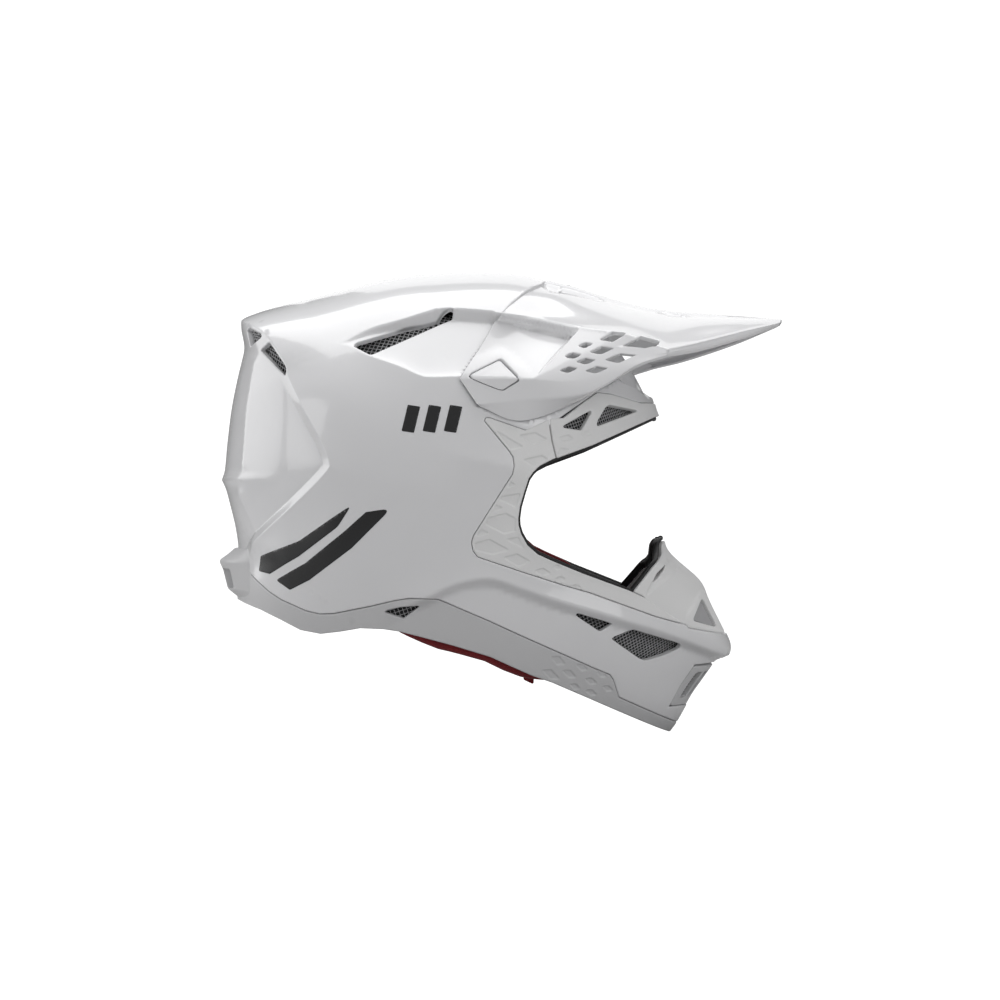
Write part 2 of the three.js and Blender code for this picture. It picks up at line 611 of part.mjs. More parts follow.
// ---- impact foam
function foamLiner() {
  const nutPocket = { radius: 9.5, segments: 20 };
  const strapRoom = bothSides(side => box([-73, -33], span(side, 84, 140), [60, 130]));
  let foam = body(-FOAM_DEPTH)
    .intersect(through(FOAM))
    .subtract(headForm(FOAM_IN))
    .subtract(strapRoom);
  for (const [, side] of SIDES) {
    foam = foam.subtract(pivotCylinder(side, { ...nutPocket, from: 86, to: 130 }));
  }
  return foam
    .subtract(centreCylinder({ ...nutPocket, from: 50, to: 90 }))
    .subtract(bothSides(side => sidePrism(FOAM_CROWN_CHANNEL, side, 20, 120)));
}
addPiece('foam_liner', foamLiner(), 'foam');

function chinFoam() {
  // upright elliptic cylinder that leaves room for the face
  const bowl = new THREE.CylinderGeometry(1, 1, 200, 40);
  bowl.rotateX(Math.PI / 2);
  bowl.scale(164, 88, 1);
  bowl.translate(-42, 0, 60);
  return body(-FOAM_DEPTH)
    .intersect(through(CHIN_FOAM))
    .subtract(solid(bowl))
    .subtract(box([60, 200], [-22, 22], [26, 42]));
}
addPiece('chin_foam', chinFoam(), 'foam');

// ---- slip liner, comfort liner, neck roll
const slipLiner = headForm(SLIP_OUT).subtract(headForm(SLIP_IN)).intersect(through(LINER));
addPiece('slip_liner', slipLiner, 'slip');
const comfortLiner = headForm(COMFORT_OUT)
  .subtract(headForm(0))
  .intersect(through(grow(LINER, 3)));
addPiece('comfort_liner', comfortLiner, 'fabric');
const neckRoll = body(-NECK_ROLL_DEPTH)
  .intersect(through(NECK_ROLL))
  .subtract(headForm(NECK_CLEAR));
addPiece('neck_roll', neckRoll, 'fabric');

// ---- cheek foam blocks (fixed) and cheek pads (pull out downwards)
// Plan of the left pad (x, y): outer face back to front, inner face front to back
const PAD_OUTER = [[-35.6, 96], [0, 93], [20, 85], [36, 75], [50, 66], [60, 59]];
const PAD_INNER = [[60, 51], [40, 52], [20, 56], [0, 62.5], [-35.6, 69]];
const PAD_CLEAR = 1.2;
const CHEEK_FOAM_PLAN = [
  [-60, 160], [-60, PAD_OUTER[0][1] + PAD_CLEAR],
  ...PAD_OUTER.map(([x, y]) => [x, y + PAD_CLEAR]),
  [70, 54], [90, 40], [90, 160],
];
for (const [name, side] of SIDES) {
  const pad = prismXY(mirrorPlan([...PAD_OUTER, ...PAD_INNER], side), 20, 140)
    .intersect(through(CHEEK_PAD))
    .subtract(sidePrism(CHEEK_PAD_NOTCH, side, 60, 72));
  addPiece(`cheek_pad_${name}`, pad, 'fabric');
  addPiece(`cheek_pull_tab_${name}`, sidePrism(PULL_TAB, side, 65, 67), 'rubber');
  const foam = body(-FOAM_DEPTH)
    .intersect(through(CHEEK_FOAM))
    .intersect(prismXY(mirrorPlan(CHEEK_FOAM_PLAN, side), 20, 160));
  addPiece(`cheek_foam_${name}`, foam, 'foam');
}

// ---- chin strap, drawn fastened. Paths are (y, z)
const LONG_STRAP = [
  [-107.5, 118], [-107.5, 108], [-103, 101], [-90, 95], [-72, 89.5], [-50, 84.5], [-25, 81],
  [0, 79.2], [22, 78.4], [38, 78.4], [43.6, 78.8], [45.8, 81], [45.8, 90], [43.8, 92.1],
  [38, 92.4], [24, 92.8], [6, 93.2],
];
const SHORT_STRAP = [[107.5, 118], [107.5, 108], [103, 101], [90, 95.5], [76, 91], [64.6, 87.6]];
const PAD_PATHS = {
  right: [[-96, 97.77], [-90, 95], [-73, 89.8]],
  left: [[96, 98.04], [90, 95.5], [76, 91], [73, 90.22]],
};
const LOOP_Y = 58.6;                     // webbing loop that holds the D-rings
const LOOP_Z = 85.6;

// Band of the given thickness along a path, centred on the webbing
function ribbon(path, thickness, halfWidth) {
  const outline = [
    ...offsetLine(path, thickness / 2),
    ...backwards(offsetLine(path, -thickness / 2)),
  ];
  return prismYZ(outline, STRAP_X - halfWidth, STRAP_X + halfWidth);
}
const strap = path => ribbon(path, STRAP_THICKNESS, STRAP_HALF_WIDTH);
const anchorHole = side => anchorCylinder(side, { radius: 4.4, from: 100, to: 112, segments: 20 });

function loopPrism(radiusY, radiusZ, halfWidth) {
  const outline = [];
  for (let i = 0; i < 20; i++) {
    const angle = i * 18 * DEG;
    outline.push([LOOP_Y + radiusY * Math.cos(angle), LOOP_Z + radiusZ * Math.sin(angle)]);
  }
  return prismYZ(outline, STRAP_X - halfWidth, STRAP_X + halfWidth);
}
const ringLoop = loopPrism(6.75, 6.6, STRAP_HALF_WIDTH)
  .subtract(loopPrism(4.32, 4.6, STRAP_HALF_WIDTH + 1));
addPiece('strap_long', strap(LONG_STRAP).subtract(anchorHole(-1)), 'webbing');
addPiece('strap_short', strap(SHORT_STRAP).add(ringLoop).subtract(anchorHole(1)), 'webbing');

// Path with both ends run on straight, so that the tunnel opens cleanly
function extendPath(path, distance) {
  const runOn = (end, inner) => {
    const [dy, dz] = direction(inner, end);
    return [end[0] + dy * distance, end[1] + dz * distance];
  };
  return [runOn(path[0], path[1]), ...path, runOn(path.at(-1), path.at(-2))];
}
for (const [name, side] of SIDES) {
  const path = PAD_PATHS[name];
  const tunnel = ribbon(extendPath(path, 3), 3.2, STRAP_HALF_WIDTH + 0.5);
  addPiece(`strap_pad_${name}`, ribbon(path, 7, 14).subtract(tunnel), 'strapPad');
  const anchor = anchorCylinder(side, { radius: 9, from: 109.2, to: 111.2, segments: 28 })
    .add(anchorCylinder(side, { radius: 3.9, from: 104.4, to: 109.4, segments: 20 }))
    .add(anchorCylinder(side, { radius: 6, from: 103.6, to: 105.6, segments: 20 }));
  addPiece(`strap_anchor_${name}`, anchor, 'steel');
}

// Two D-rings on one webbing loop: straight bar in the loop, bow towards the middle
function dRing(z) {
  const halfWidth = 15.3, wire = 1.5;
  // centre line of the wire (y, x from the webbing middle)
  const outline = [
    [LOOP_Y, -halfWidth], [LOOP_Y, halfWidth], [46.5, halfWidth], [42.0, halfWidth * 0.92],
    [39.9, halfWidth * 0.66], [39.3, 0], [39.9, -halfWidth * 0.66],
    [42.0, -halfWidth * 0.92], [46.5, -halfWidth],
  ];
  const plan = distance => grow(outline, distance).map(([y, x]) => [x + STRAP_X, y]);
  return prismXY(plan(wire), z - wire, z + wire)
    .subtract(prismXY(plan(-wire), z - wire - 1, z + wire + 1));
}
addPiece('d_ring_upper', dRing(87.4), 'ring');
addPiece('d_ring_lower', dRing(83.6), 'ring');

function strapSnap() {
  const geometry = new THREE.CylinderGeometry(6, 6, 2.4, 28);
  return solid(geometry.rotateX(Math.PI / 2).translate(STRAP_X, 14, 95.6));
}
addPiece('strap_snap', strapSnap(), 'steel');

// ---- peak
// Rows from the centre line (0) out and down to the inside of the lower edge (5).
// Each row is (x, y, z) on the left half, at eight stations from back to front.
const PEAK_ROWS = [
  [[32.5, 0, 308.3], [50.2, 0, 304.2], [69.9, 0, 297.8], [94.4, 0, 291.2],
    [113.4, 0, 288.2], [135.2, 0, 286.3], [165.8, 0, 284.4], [190.9, 0, 281.9]],
  [[30.5, 17, 306.9], [50.2, 17, 302.0], [69.9, 17, 295.6], [94.4, 17, 289.2],
    [113.4, 17, 286.0], [135.2, 15, 284.4], [165.8, 12, 282.4], [190.4, 4, 281.2]],
  [[-0.5, 85.2, 279.9], [24.1, 74, 276.9], [52.1, 83, 270.9], [80.5, 90, 266.2],
    [108.2, 96, 255.9], [130.5, 72, 261.6], [162.3, 43, 271.1], [189.4, 9, 279.0]],
  [[-26.9, 116.7, 237.2], [-0.9, 115.6, 237.3], [22.3, 113, 237.3], [65.0, 105, 246.7],
    [108.1, 97, 254.5], [130.5, 72.5, 259.6], [162.3, 43.5, 269.1], [189.1, 9, 278.0]],
  [[-15.3, 118.8, 220.1], [12.0, 115.2, 222.8], [55.9, 109, 227.5], [87.8, 102, 246.2],
    [108.1, 97, 253.2], [130.5, 72.5, 258.0], [162.3, 43.5, 267.7], [188.7, 9, 277.3]],
  [[-14.3, 116.9, 218.9], [12.7, 113.7, 209.7], [47.8, 98.5, 221.7], [88.5, 100, 244.7],
    [108.2, 96, 251.6], [130.5, 71.5, 256.4], [162.4, 42.5, 266.4], [188.4, 8.5, 276.7]],
];
// Row and side at each step across, from the left lower edge to the right
const PEAK_ACROSS = [
  [5, 1], [4, 1], [3, 1], [2, 1], [1, 1], [0, 1], [1, -1], [2, -1], [3, -1], [4, -1], [5, -1],
];
// Front half, inner surface: row -> [inset in y, rise in z] from row 5
const PEAK_INNER_EDGE = { 5: [0.8, 0], 4: [2.2, 0.15], 3: [3.4, 0.35], 2: [5.0, 0.7] };

function peakLoft() {
  const stations = PEAK_ROWS[0].length, steps = PEAK_ACROSS.length;
  const outer = PEAK_ROWS[0].map((_, j) => PEAK_ACROSS.map(([row, side]) => {
    const [x, y, z] = PEAK_ROWS[row][j];
    return new THREE.Vector3(x, side * y, z);
  }));
  const outwardNormal = (j, a) => {
    const across = outer[j][Math.min(steps - 1, a + 1)].clone()
      .sub(outer[j][Math.max(0, a - 1)]);
    const forward = outer[Math.min(stations - 1, j + 1)][a].clone()
      .sub(outer[Math.max(0, j - 1)][a]);
    return new THREE.Vector3().crossVectors(across, forward).normalize();
  };
  const innerPoint = (point, j, a) => {
    const [row, side] = PEAK_ACROSS[a];
    if (j <= 3) {
      const normal = outwardNormal(j, a);
      if (normal.z < -0.2 && row < 4) normal.negate();
      return point.clone().addScaledVector(normal, -PEAK_THICKNESS);
    }
    const tip = j === stations - 1;
    if (row in PEAK_INNER_EDGE) {
      const [inset, rise] = PEAK_INNER_EDGE[row], [x, y, z] = PEAK_ROWS[5][j];
      return new THREE.Vector3(x, side * (y - inset * (tip ? 0.35 : 1)), z + rise);
    }
    return new THREE.Vector3(
      point.x - (tip ? 2 : 0), point.y * (tip ? 0.7 : 1), point.z - 2.8);
  };
  const inner = outer.map((line, j) => line.map((point, a) => innerPoint(point, j, a)));

  const points = [...outer.flat(), ...inner.flat()].map(v => [v.x, v.y, v.z]);
  const triangles = [];
  const top = (j, a) => j * steps + a;
  const under = (j, a) => stations * steps + j * steps + a;
  const quad = (p, q, r, s) => triangles.push([p, q, r], [p, r, s]);
  const front = stations - 1, right = steps - 1;
  for (let j = 0; j < front; j++) {
    for (let a = 0; a < right; a++) {
      quad(top(j, a), top(j, a + 1), top(j + 1, a + 1), top(j + 1, a));
      quad(under(j, a), under(j + 1, a), under(j + 1, a + 1), under(j, a + 1));
    }
  }
  for (let a = 0; a < right; a++) {
    quad(top(0, a), under(0, a), under(0, a + 1), top(0, a + 1));
    quad(top(front, a), top(front, a + 1), under(front, a + 1), under(front, a));
  }
  for (let j = 0; j < front; j++) {
    quad(top(j, 0), top(j + 1, 0), under(j + 1, 0), under(j, 0));
    quad(top(j, right), under(j, right), under(j + 1, right), top(j + 1, right));
  }
  return fromArrays(points, triangles);
}

// Turned about the peak pivot, positive is front up
function tilt(manifold, degrees) {
  const cos = Math.cos(degrees * DEG), sin = Math.sin(degrees * DEG);
  return manifold.transform([
    cos, 0, sin, 0,
    0, 1, 0, 0,
    -sin, 0, cos, 0,
    PIVOT_X - cos * PIVOT_X + sin * PIVOT_Z, 0, PIVOT_Z - sin * PIVOT_X - cos * PIVOT_Z, 1,
  ]);
}

// Ring sector about the pivot, across the mid plane
function sector({ radii: [inner, outer], angles: [start, end], halfWidth }) {
  const steps = 8;
  const arc = (radius, from, to) => Array.from({ length: steps + 1 }, (_, i) => {
    const angle = (from + (to - from) * i / steps) * DEG;
    return [PIVOT_X + radius * Math.cos(angle), PIVOT_Z + radius * Math.sin(angle)];
  });
  return prismXZ([...arc(inner, start, end), ...arc(outer, end, start)], -halfWidth, halfWidth);
}

function peak() {
  let result = peakLoft();
  for (const [, side] of SIDES) {
    const boss = { radius: 12, from: 106, to: 113.2, segments: 32 };
    result = result.add(pivotCylinder(side, boss));
  }
  // shelf under the centre screw, with room for the head and a slot for the shank
  result = result
    .add(sector({ radii: [78.5, 84.5], angles: [35.4, 56.0], halfWidth: 10.5 }))
    .subtract(sector({ radii: [81, 96], angles: [37.2, 54.2], halfWidth: 7.6 }))
    .subtract(sector({ radii: [70, 90], angles: [40.2, 51.8], halfWidth: 2.9 }));
  for (const angle of PEAK_TILTS) result = result.subtract(tilt(body(PEAK_CLEAR), -angle));
  for (const [, side] of SIDES) {
    const headRoom = { radius: 7.5, from: 110.4, to: 130, segments: 32 };
    const hole = { radius: SCREW_HOLE_RADIUS, from: 100, to: 130, segments: 16 };
    result = result
      .subtract(pivotCylinder(side, headRoom))
      .subtract(pivotCylinder(side, hole))
      .subtract(sidePrism(grow(PEAK_CAP, GAP), side, 113, 130));
    for (const outline of PERFORATIONS) {
      result = result.subtract(sidePrism(outline, side, 55, 130));
    }
  }
  return result;
}
addPiece('peak', peak(), 'peak');

// ---- side caps and fasteners; at = cylinder builder along the fastener's axis
function screw(at, head, shank, socket) {
  return at({ radius: 6, segments: 28, ...head })
    .add(at({ radius: SHANK_RADIUS, ...shank }))
    .subtract(at({ radius: SHANK_RADIUS, segments: 6, ...socket }));
}
function nut(at, flange, barrel, bore) {
  return at(flange)
    .add(at({ radius: 4.2, ...barrel }))
    .subtract(at({ radius: NUT_BORE_RADIUS, ...bore }));
}
for (const [name, side] of SIDES) {
  const at = sizes => pivotCylinder(side, sizes);
  addPiece(`peak_side_cap_${name}`, sidePrism(PEAK_CAP, side, 113.2, 115.4), 'peak');
  addPiece(`side_screw_${name}`, screw(at,
    { from: 110.6, to: 112.8 },
    { from: 91, to: 110.8, segments: 12 },
    { from: 111.4, to: 113.2 }), 'steel');
  addPiece(`side_nut_${name}`, nut(at,
    { radius: 7, from: 96.4, to: 98.2, segments: 24 },
    { from: 90, to: 96.6, segments: 16 },
    { from: 88, to: 105, segments: 12 }), 'nut');
}
addPiece('centre_screw', screw(centreCylinder,
  { from: 81.3, to: 83.9 },
  { from: 66.5, to: 81.5, segments: 16 },
  { from: 82.5, to: 85 }), 'blackScrew');
addPiece('centre_nut', nut(centreCylinder,
  { radius: 8, from: 68.6, to: 70.6, segments: 28 },
  { from: 62.5, to: 68.8, segments: 20 },
  { from: 60, to: 75, segments: 16 }), 'nut');

// ---- put the origin at the middle of the bottom of the bounding box
const bounds = new THREE.Box3().setFromObject(group);
const shiftX = -(bounds.min.x + bounds.max.x) / 2;
group.children.forEach(mesh => mesh.geometry.translate(shiftX, 0, -bounds.min.z));

export default group;
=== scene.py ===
"""Motocross helmet with a peak, chin strap and padding, built round the CAD frame's pieces.

+X is forward, +Y the wearer's left, +Z up. Lengths are in mm in the drawing's own frame, unless a
comment says otherwise; to_metres moves them into the CAD frame. Side-view outlines are (x, z)
points. The skins are built on "surfaces", which map flat 2D coordinates to 3D.
"""
import json
import math

import bmesh
import bpy
import numpy as np
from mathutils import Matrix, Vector
from mathutils.geometry import delaunay_2d_cdt

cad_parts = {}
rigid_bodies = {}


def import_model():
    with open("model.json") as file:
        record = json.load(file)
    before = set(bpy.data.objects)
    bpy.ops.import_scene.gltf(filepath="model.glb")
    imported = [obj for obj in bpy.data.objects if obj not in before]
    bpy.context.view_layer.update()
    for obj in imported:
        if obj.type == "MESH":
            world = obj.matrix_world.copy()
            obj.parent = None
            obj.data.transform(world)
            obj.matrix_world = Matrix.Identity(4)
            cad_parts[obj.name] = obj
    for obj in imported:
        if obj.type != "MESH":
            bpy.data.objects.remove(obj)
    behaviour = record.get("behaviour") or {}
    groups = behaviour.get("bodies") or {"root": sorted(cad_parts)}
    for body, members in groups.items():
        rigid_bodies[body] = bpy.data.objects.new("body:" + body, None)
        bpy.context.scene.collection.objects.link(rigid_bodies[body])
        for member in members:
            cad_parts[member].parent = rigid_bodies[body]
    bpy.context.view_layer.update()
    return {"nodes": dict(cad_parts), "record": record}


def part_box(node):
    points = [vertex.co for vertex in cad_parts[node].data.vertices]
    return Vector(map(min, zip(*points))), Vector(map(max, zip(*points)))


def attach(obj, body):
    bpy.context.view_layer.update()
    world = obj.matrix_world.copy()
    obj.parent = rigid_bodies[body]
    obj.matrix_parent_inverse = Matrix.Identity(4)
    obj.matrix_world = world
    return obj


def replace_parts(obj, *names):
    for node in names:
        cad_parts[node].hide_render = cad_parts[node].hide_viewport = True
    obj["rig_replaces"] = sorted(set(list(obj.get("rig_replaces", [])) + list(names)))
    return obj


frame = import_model()

SIDES = (("right", -1), ("left", 1))
PIVOT_X, PIVOT_Z = -5.4, 238.8      # axis of the peak's side screws
PIVOT = (PIVOT_X, 0, PIVOT_Z)
_low, _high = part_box("side_screw_right")
SHIFT = np.array([(_low.x + _high.x) * 500 - PIVOT_X, 0.0, (_low.z + _high.z) * 500 - PIVOT_Z])


def table(text):
    """Rows of numbers: blanks part the rows, commas the columns."""
    return [[float(value) for value in row.split(",")] for row in text.split()]


def tables(text):
    """Several tables, parted by slashes."""
    return [table(part) for part in text.split("/")]


# ---------------------------------------------------------------- outlines, (x, z)
TRIM = table("""26,203.4 22,202.4 15.4,203.9 -7.5,211.8 -10.5,211.8 -10.8,209.3 4.9,190.3
    7.4,186.2 8,180.7 6.9,175.2 -18,135.9 -19.3,131.2 -18.3,126.1 -15.3,122.2 -10.2,120.5
    12.7,112.7 39.2,103.9 57.6,98.4 100.2,82.3 121.6,76.1""")
PORT = table("""105.3,215.6 77.9,203 59.5,194.6 32.6,184.7 24.7,180.6 20.4,176.6 17.5,172.4
    14.8,164.1 12,154.3 11,147 11.2,142.4 12.7,137.2 16.7,129.9 23.4,124 32.5,119.8 52.3,111.5
    84,99.4 86.7,98.4""")
FRAME_TOP = table("52.5,222.3 62.6,229.3 72.1,228.5 92.1,223.6 103.9,224.3")
FRAME_SIDE = table("30.7,211.3 31.3,205.6 32.6,197.1 35.3,185.7")
GUARD = table("""86.7,98.7 106.8,122.7 108,129.2 110.4,130.9 113.4,130.6 124.3,121.4 135.2,111.2
    148.8,90.8 159,70.4 160.3,65.3 148.5,68.5 123,74.1 121.6,76.1 100.2,82.3 93.4,95.3""")
SEAM = table("""-180.4,128.2 -174.3,118.4 -169.6,113.3 -161.7,106.2 -151.9,98.6 -143.4,93.6
    -126.8,86.9 -117.8,85 -109,85.3 -84.1,90.4 -68.2,94.4 -59,96 -51.1,96 -41.4,94.7 -34.7,92.1
    -7.3,80.4 11.4,71.6 46.1,55.6 59.6,49.2 71.9,43.8 74,40.6 78,28.5 121.1,7.6""")
RIM = table("""-176.5,91.6 -159,86.4 -144.8,80.4 -131.1,73.9 -117.6,71.7 -104.4,73.4 -91.2,75.8
    -76.3,75.3 -65.7,73.6 -51.3,69.9 -31.6,64.6 -7.3,57.1 19.3,44.6 33.5,39.3 58.3,27.9 82,16.7""")
CROWN_VENT = table("-96.1,259 -94.2,261 -33.3,280.4 -30.9,279.7 -32.6,277.2 -83.9,253.1 -85.1,253.2")
REAR_VENT_A = table("-169.7,272.1 -168.1,273.5 -159,268.8 -158.6,266.6 -167,260.4")
REAR_VENT_B = table("-159,257.4 -153.1,262.7 -141.9,247.3 -140.6,244.6 -140.9,239.4 -150.7,249.2")
CHIN_VENT_A = table("48.5,83.8 49.6,85 71.9,78 72.5,77.4 65.5,73.3 63.8,73.4")
CHIN_VENT_B = table("""72.6,67.6 73.5,68.8 84.9,73.1 87,73.4 118,63.4 119.3,62 118.2,60
    109.4,56.3 98.2,53.2 94.7,52.9 91.2,54.3""")
BROW_VENT_A = table("62,206.7 62.7,210.4 68.3,219.6 70.6,221.1 89,218.3 89.7,217.4")
BROW_VENT_B = table("38.3,205.8 57.8,217 58.5,215.7 51.8,204.1")
BASE_VENT = table("-75.5,86.5 -73.6,87.8 -64.3,90.1 -51.5,90.8 -63,82.2")
GRAPHICS = tables("""-157.2,122.1 -130.5,132.3 -107.8,147.9 -96,155.6 -105.1,141.5 -130.5,122.5
    -151.4,110.4 -159.5,112.1 / -147.2,106.6 -126.5,118.1 -100.6,138.9 -86.9,151.1 -70.1,153.7
    -96,128 -123.9,107.1 -137.5,100.3""")
DIAMONDS = tables("""-4.3,203.8 14.1,193 5.6,191 / 10.7,200.2 22,202.1 30,197.7 20,194.7 /
    13.4,184.5 26,187.5 30,185.2 20.7,180.2 / 3.3,166.7 5.6,170.7 9.4,168.7 /
    0.3,161.2 12.2,163.1 9.5,153.9 -1.3,159.2 / -5.5,151.7 -3.3,155.6 1.3,153.6 /
    -10.8,143.4 -8.2,147.4 3,150.3 9.2,146.7 8.8,138.9 1.7,137.2 /
    -16.7,135.3 -13.1,140.2 -7.9,137.5 / -17.7,131 -7.5,133.6 4.9,126.7 -6.3,124.1 -16.9,126.7 /
    2.4,133.6 10.9,134.9 14.8,127.3 / 0.9,122 10.1,124.2 18.6,119.2 10.8,116 /
    20.6,113.3 26.5,114.9 31.9,111.7 25.9,110.3 / 33.9,107.9 37.8,109.5 41.9,107.8 38,106.2 /
    32.5,115.9 36,117.1 39.3,115.2 35.7,114 / 43.9,102.9 47.8,104.1 51.7,102.4 47.8,101.1""")
FRAME_DIAMONDS = tables("""36.7,199.1 43.2,200.8 47,198.5 40.6,196.8 /
    35.3,187.5 38,192.5 44.5,191.2 / 51.1,202 56.4,203.4 59,201.6 53.7,200""")
BASE_DIAMONDS = tables("""32.1,56.6 38.1,56.8 42.2,51.6 36.1,51.4 /
    39.4,47.4 45.2,47.5 49.5,42.6 44.2,42.7 / 26.1,47.9 32.7,48.2 38.5,41.9 32.4,41.8 /
    48.1,51.2 53.4,51.4 57.4,47.4 52.5,47.1 / 54.1,41.7 59.4,42 63.5,38.1 58.5,37.8 /
    62,45.8 66.7,45.9 70.1,42.6 65.4,42.5 / 66.2,36.3 70.8,36.5 74.2,33.1 69.5,32.8 /
    54.9,34 59.5,34.2 63.3,30.7 58.9,30.4 / 44.2,38.2 48.9,38.5 52.2,35 48,34.6""")
SLIT = table("94.8,95.9 99.1,104.3 110.1,117.2 113.9,118.5 119.1,113.7")
SLIT_HOLE = table("99.5,103.9 102.4,110 109.7,116.6 108.1,112.5 104.4,108")
INSERT = table("133.8,93 126.4,78.6 144.4,73")
INSERT_RIM = table("""122.8,76.8 124.2,82.9 127.3,86.9 133.5,96.6 136.5,95.4 149.7,69.8
    148.5,68.5 123.7,73.7""")
CAP = table("-20.8,239 -0.9,249.5 9.5,238.6 11.2,235.9 1.3,229.5 -1.4,229.8 -17.8,236.3")
PERFORATIONS = tables("""63.7,263.3 71.9,267.7 82,267.5 72.6,261.8 /
    49.4,259.3 54.9,261.3 59.8,260.5 54.5,257.8 / 57.2,255.1 65.3,258.8 73.4,257.5 64.8,253.4 /
    78.7,258.8 90.7,265.3 103.6,262.2 93.2,257.5 / 40.8,252.4 46.2,254.5 52,253.3 47.6,250.6 /
    48.2,248.7 54.7,251 61.2,249.7 55.3,246.7 / 67.5,249.9 76.9,254 87.5,253 76.6,247.8 /
    37.7,242.9 43.4,245.3 49.1,244.2 43.7,241 / 54.2,242.6 61.8,245.6 69,244.2 61.5,240.8""")

# Shell in the side view as polar knots about (CENTRE_X, CENTRE_Z); angles in degrees from +X.
# Columns of RADIUS_KNOTS: angle, radius. POWER_KNOTS: angle, edge power, width power.
RADIUS_KNOTS = table("""-47,236.6 -38,230.5 -33,231.2 -29.8,233.2 -27,223 -26,217.6 -23.5,206.7
    -20.1,194.5 -18.9,182.9 -16.5,168 -14.7,164.6 -8,163.2 0,161.8 10,160.8 16,160.5 20,161
    25,160.3 35,159.5 45,158.1 58.6,156.4 66.2,151.9 73.8,146.5 81.8,142.1 90,139.4 98.4,138.9
    104.2,139.1 112.7,140.8 118.3,143.3 123.7,147.1 128.5,152.3 133.3,158.1 136.7,162.5
    140,165.6 144.8,153.7 151.8,147.4 158.3,143.5 166.7,140.1 174.4,138.4 180,137 186.7,136
    192,135.7 198.6,137.4 205,144.2 212,153.7 225,173.4 240,197.2 255,216.2 270,227.8 285,234.6
    300,238""")
POWER_KNOTS = table("""-47,1.75,1.75 -20,1.75,1.75 0,2.1,2 20,2.2,2 45,2.3,2 90,2.35,2 140,2.3,2
    180,2.3,2 212,2.3,2 250,2.2,2 290,2,1.9""")
CENTRE_X, CENTRE_Z, HALF_WIDTH = -48.45, 172.45, 121.0


# ---------------------------------------------------------------- numbers and outlines
def floats(values):
    return np.asarray(values, float)


def ease(start, end, x):
    """0 at start, 1 at end, smooth between."""
    t = np.clip((floats(x) - start) / (end - start), 0, 1)
    return t * t * (3 - 2 * t)


def unit(v):
    return v / np.maximum(np.linalg.norm(v, axis=1, keepdims=True), 1e-12)


def turn_left(v):
    return np.stack([-v[:, 1], v[:, 0]], 1)


def left_normals(line):
    return turn_left(unit(np.gradient(line, axis=0)))


def arc_length(line):
    return np.concatenate([[0], np.cumsum(np.linalg.norm(np.diff(line, axis=0), axis=1))])


def catmull_rom(p0, p1, p2, p3, f):
    return p1 + 0.5 * f * (p2 - p0 + f * (2*p0 - 5*p1 + 4*p2 - p3 + f * (3*(p1 - p2) + p3 - p0)))


def angle_function(knots, column, blur):
    """A smooth function of degrees: a monotone cubic through the knots, blurred by some degrees."""
    knots = floats(knots)
    angles, values = knots[:, 0], knots[:, column]
    X = np.concatenate([angles - 360, angles, angles + 360])
    Y = np.tile(values, 3)
    slope = np.diff(Y) / np.diff(X)
    tangent = np.zeros_like(Y)
    for i in range(1, len(X) - 1):
        if slope[i - 1] * slope[i] > 0:
            before, after = X[i] - X[i - 1], X[i + 1] - X[i]
            w1, w2 = 2 * after + before, after + 2 * before
            tangent[i] = (w1 + w2) / (w1 / slope[i - 1] + w2 / slope[i])
    count = 1440
    t = np.arange(count) * 360.0 / count
    t = (t - angles[0]) % 360 + angles[0]
    i = np.clip(np.searchsorted(X, t, side="right") - 1, 1, len(X) - 3)
    h = X[i + 1] - X[i]
    s = (t - X[i]) / h
    samples = (Y[i] * (2*s**3 - 3*s**2 + 1) + h * tangent[i] * (s**3 - 2*s**2 + s)
               + Y[i + 1] * (-2*s**3 + 3*s**2) + h * tangent[i + 1] * (s**3 - s**2))
    waves = np.fft.rfftfreq(count, 1 / count)
    damping = np.exp(-0.5 * (waves * 2 * np.pi * blur / 360) ** 2)
    samples = np.fft.irfft(np.fft.rfft(samples) * damping, count)

    def at(degrees):
        u = (floats(degrees) % 360) * count / 360
        i = np.floor(u).astype(int)
        return catmull_rom(*(samples[(i + k) % count] for k in (-1, 0, 1, 2)), u - i)
    return at


def ccw(outline):
    outline = floats(outline)
    x, z = outline.T
    area = np.sum(x * np.roll(z, -1) - np.roll(x, -1) * z)
    return outline if area > 0 else outline[::-1]


def rounded(outline, radius, closed=True, seg=4):
    """The outline with its corners rounded; radius is one value or one per point."""
    outline = floats(outline)
    n = len(outline)
    radius = np.broadcast_to(radius, (n,))
    out = []
    for i in range(n):
        corner = outline[i]
        if not closed and i in (0, n - 1):
            out.append(corner)
            continue
        u, v = outline[i - 1] - corner, outline[(i + 1) % n] - corner
        len_u, len_v = np.linalg.norm(u), np.linalg.norm(v)
        if radius[i] <= 0 or len_u < 1e-6 or len_v < 1e-6:
            out.append(corner)
            continue
        angle = math.acos(np.clip(u @ v / len_u / len_v, -1, 1))
        if angle > math.radians(168):
            out.append(corner)
            continue
        reach = min(radius[i] / math.tan(angle / 2), len_u * 0.45, len_v * 0.45)
        start, end = corner + u / len_u * reach, corner + v / len_v * reach
        for k in range(seg + 1):
            f = k / seg
            out.append((1 - f) ** 2 * start + 2 * f * (1 - f) * corner + f * f * end)
    return floats(out)


def smooth_line(line, n):
    """An open spline through the points, with n steps to each span."""
    line = floats(line)
    last = len(line) - 1
    out = []
    for i in range(last):
        near4 = [line[min(max(k, 0), last)] for k in (i - 1, i, i + 1, i + 2)]
        out += [catmull_rom(*near4, k / n) for k in range(n)]
    out.append(line[-1])
    return floats(out)


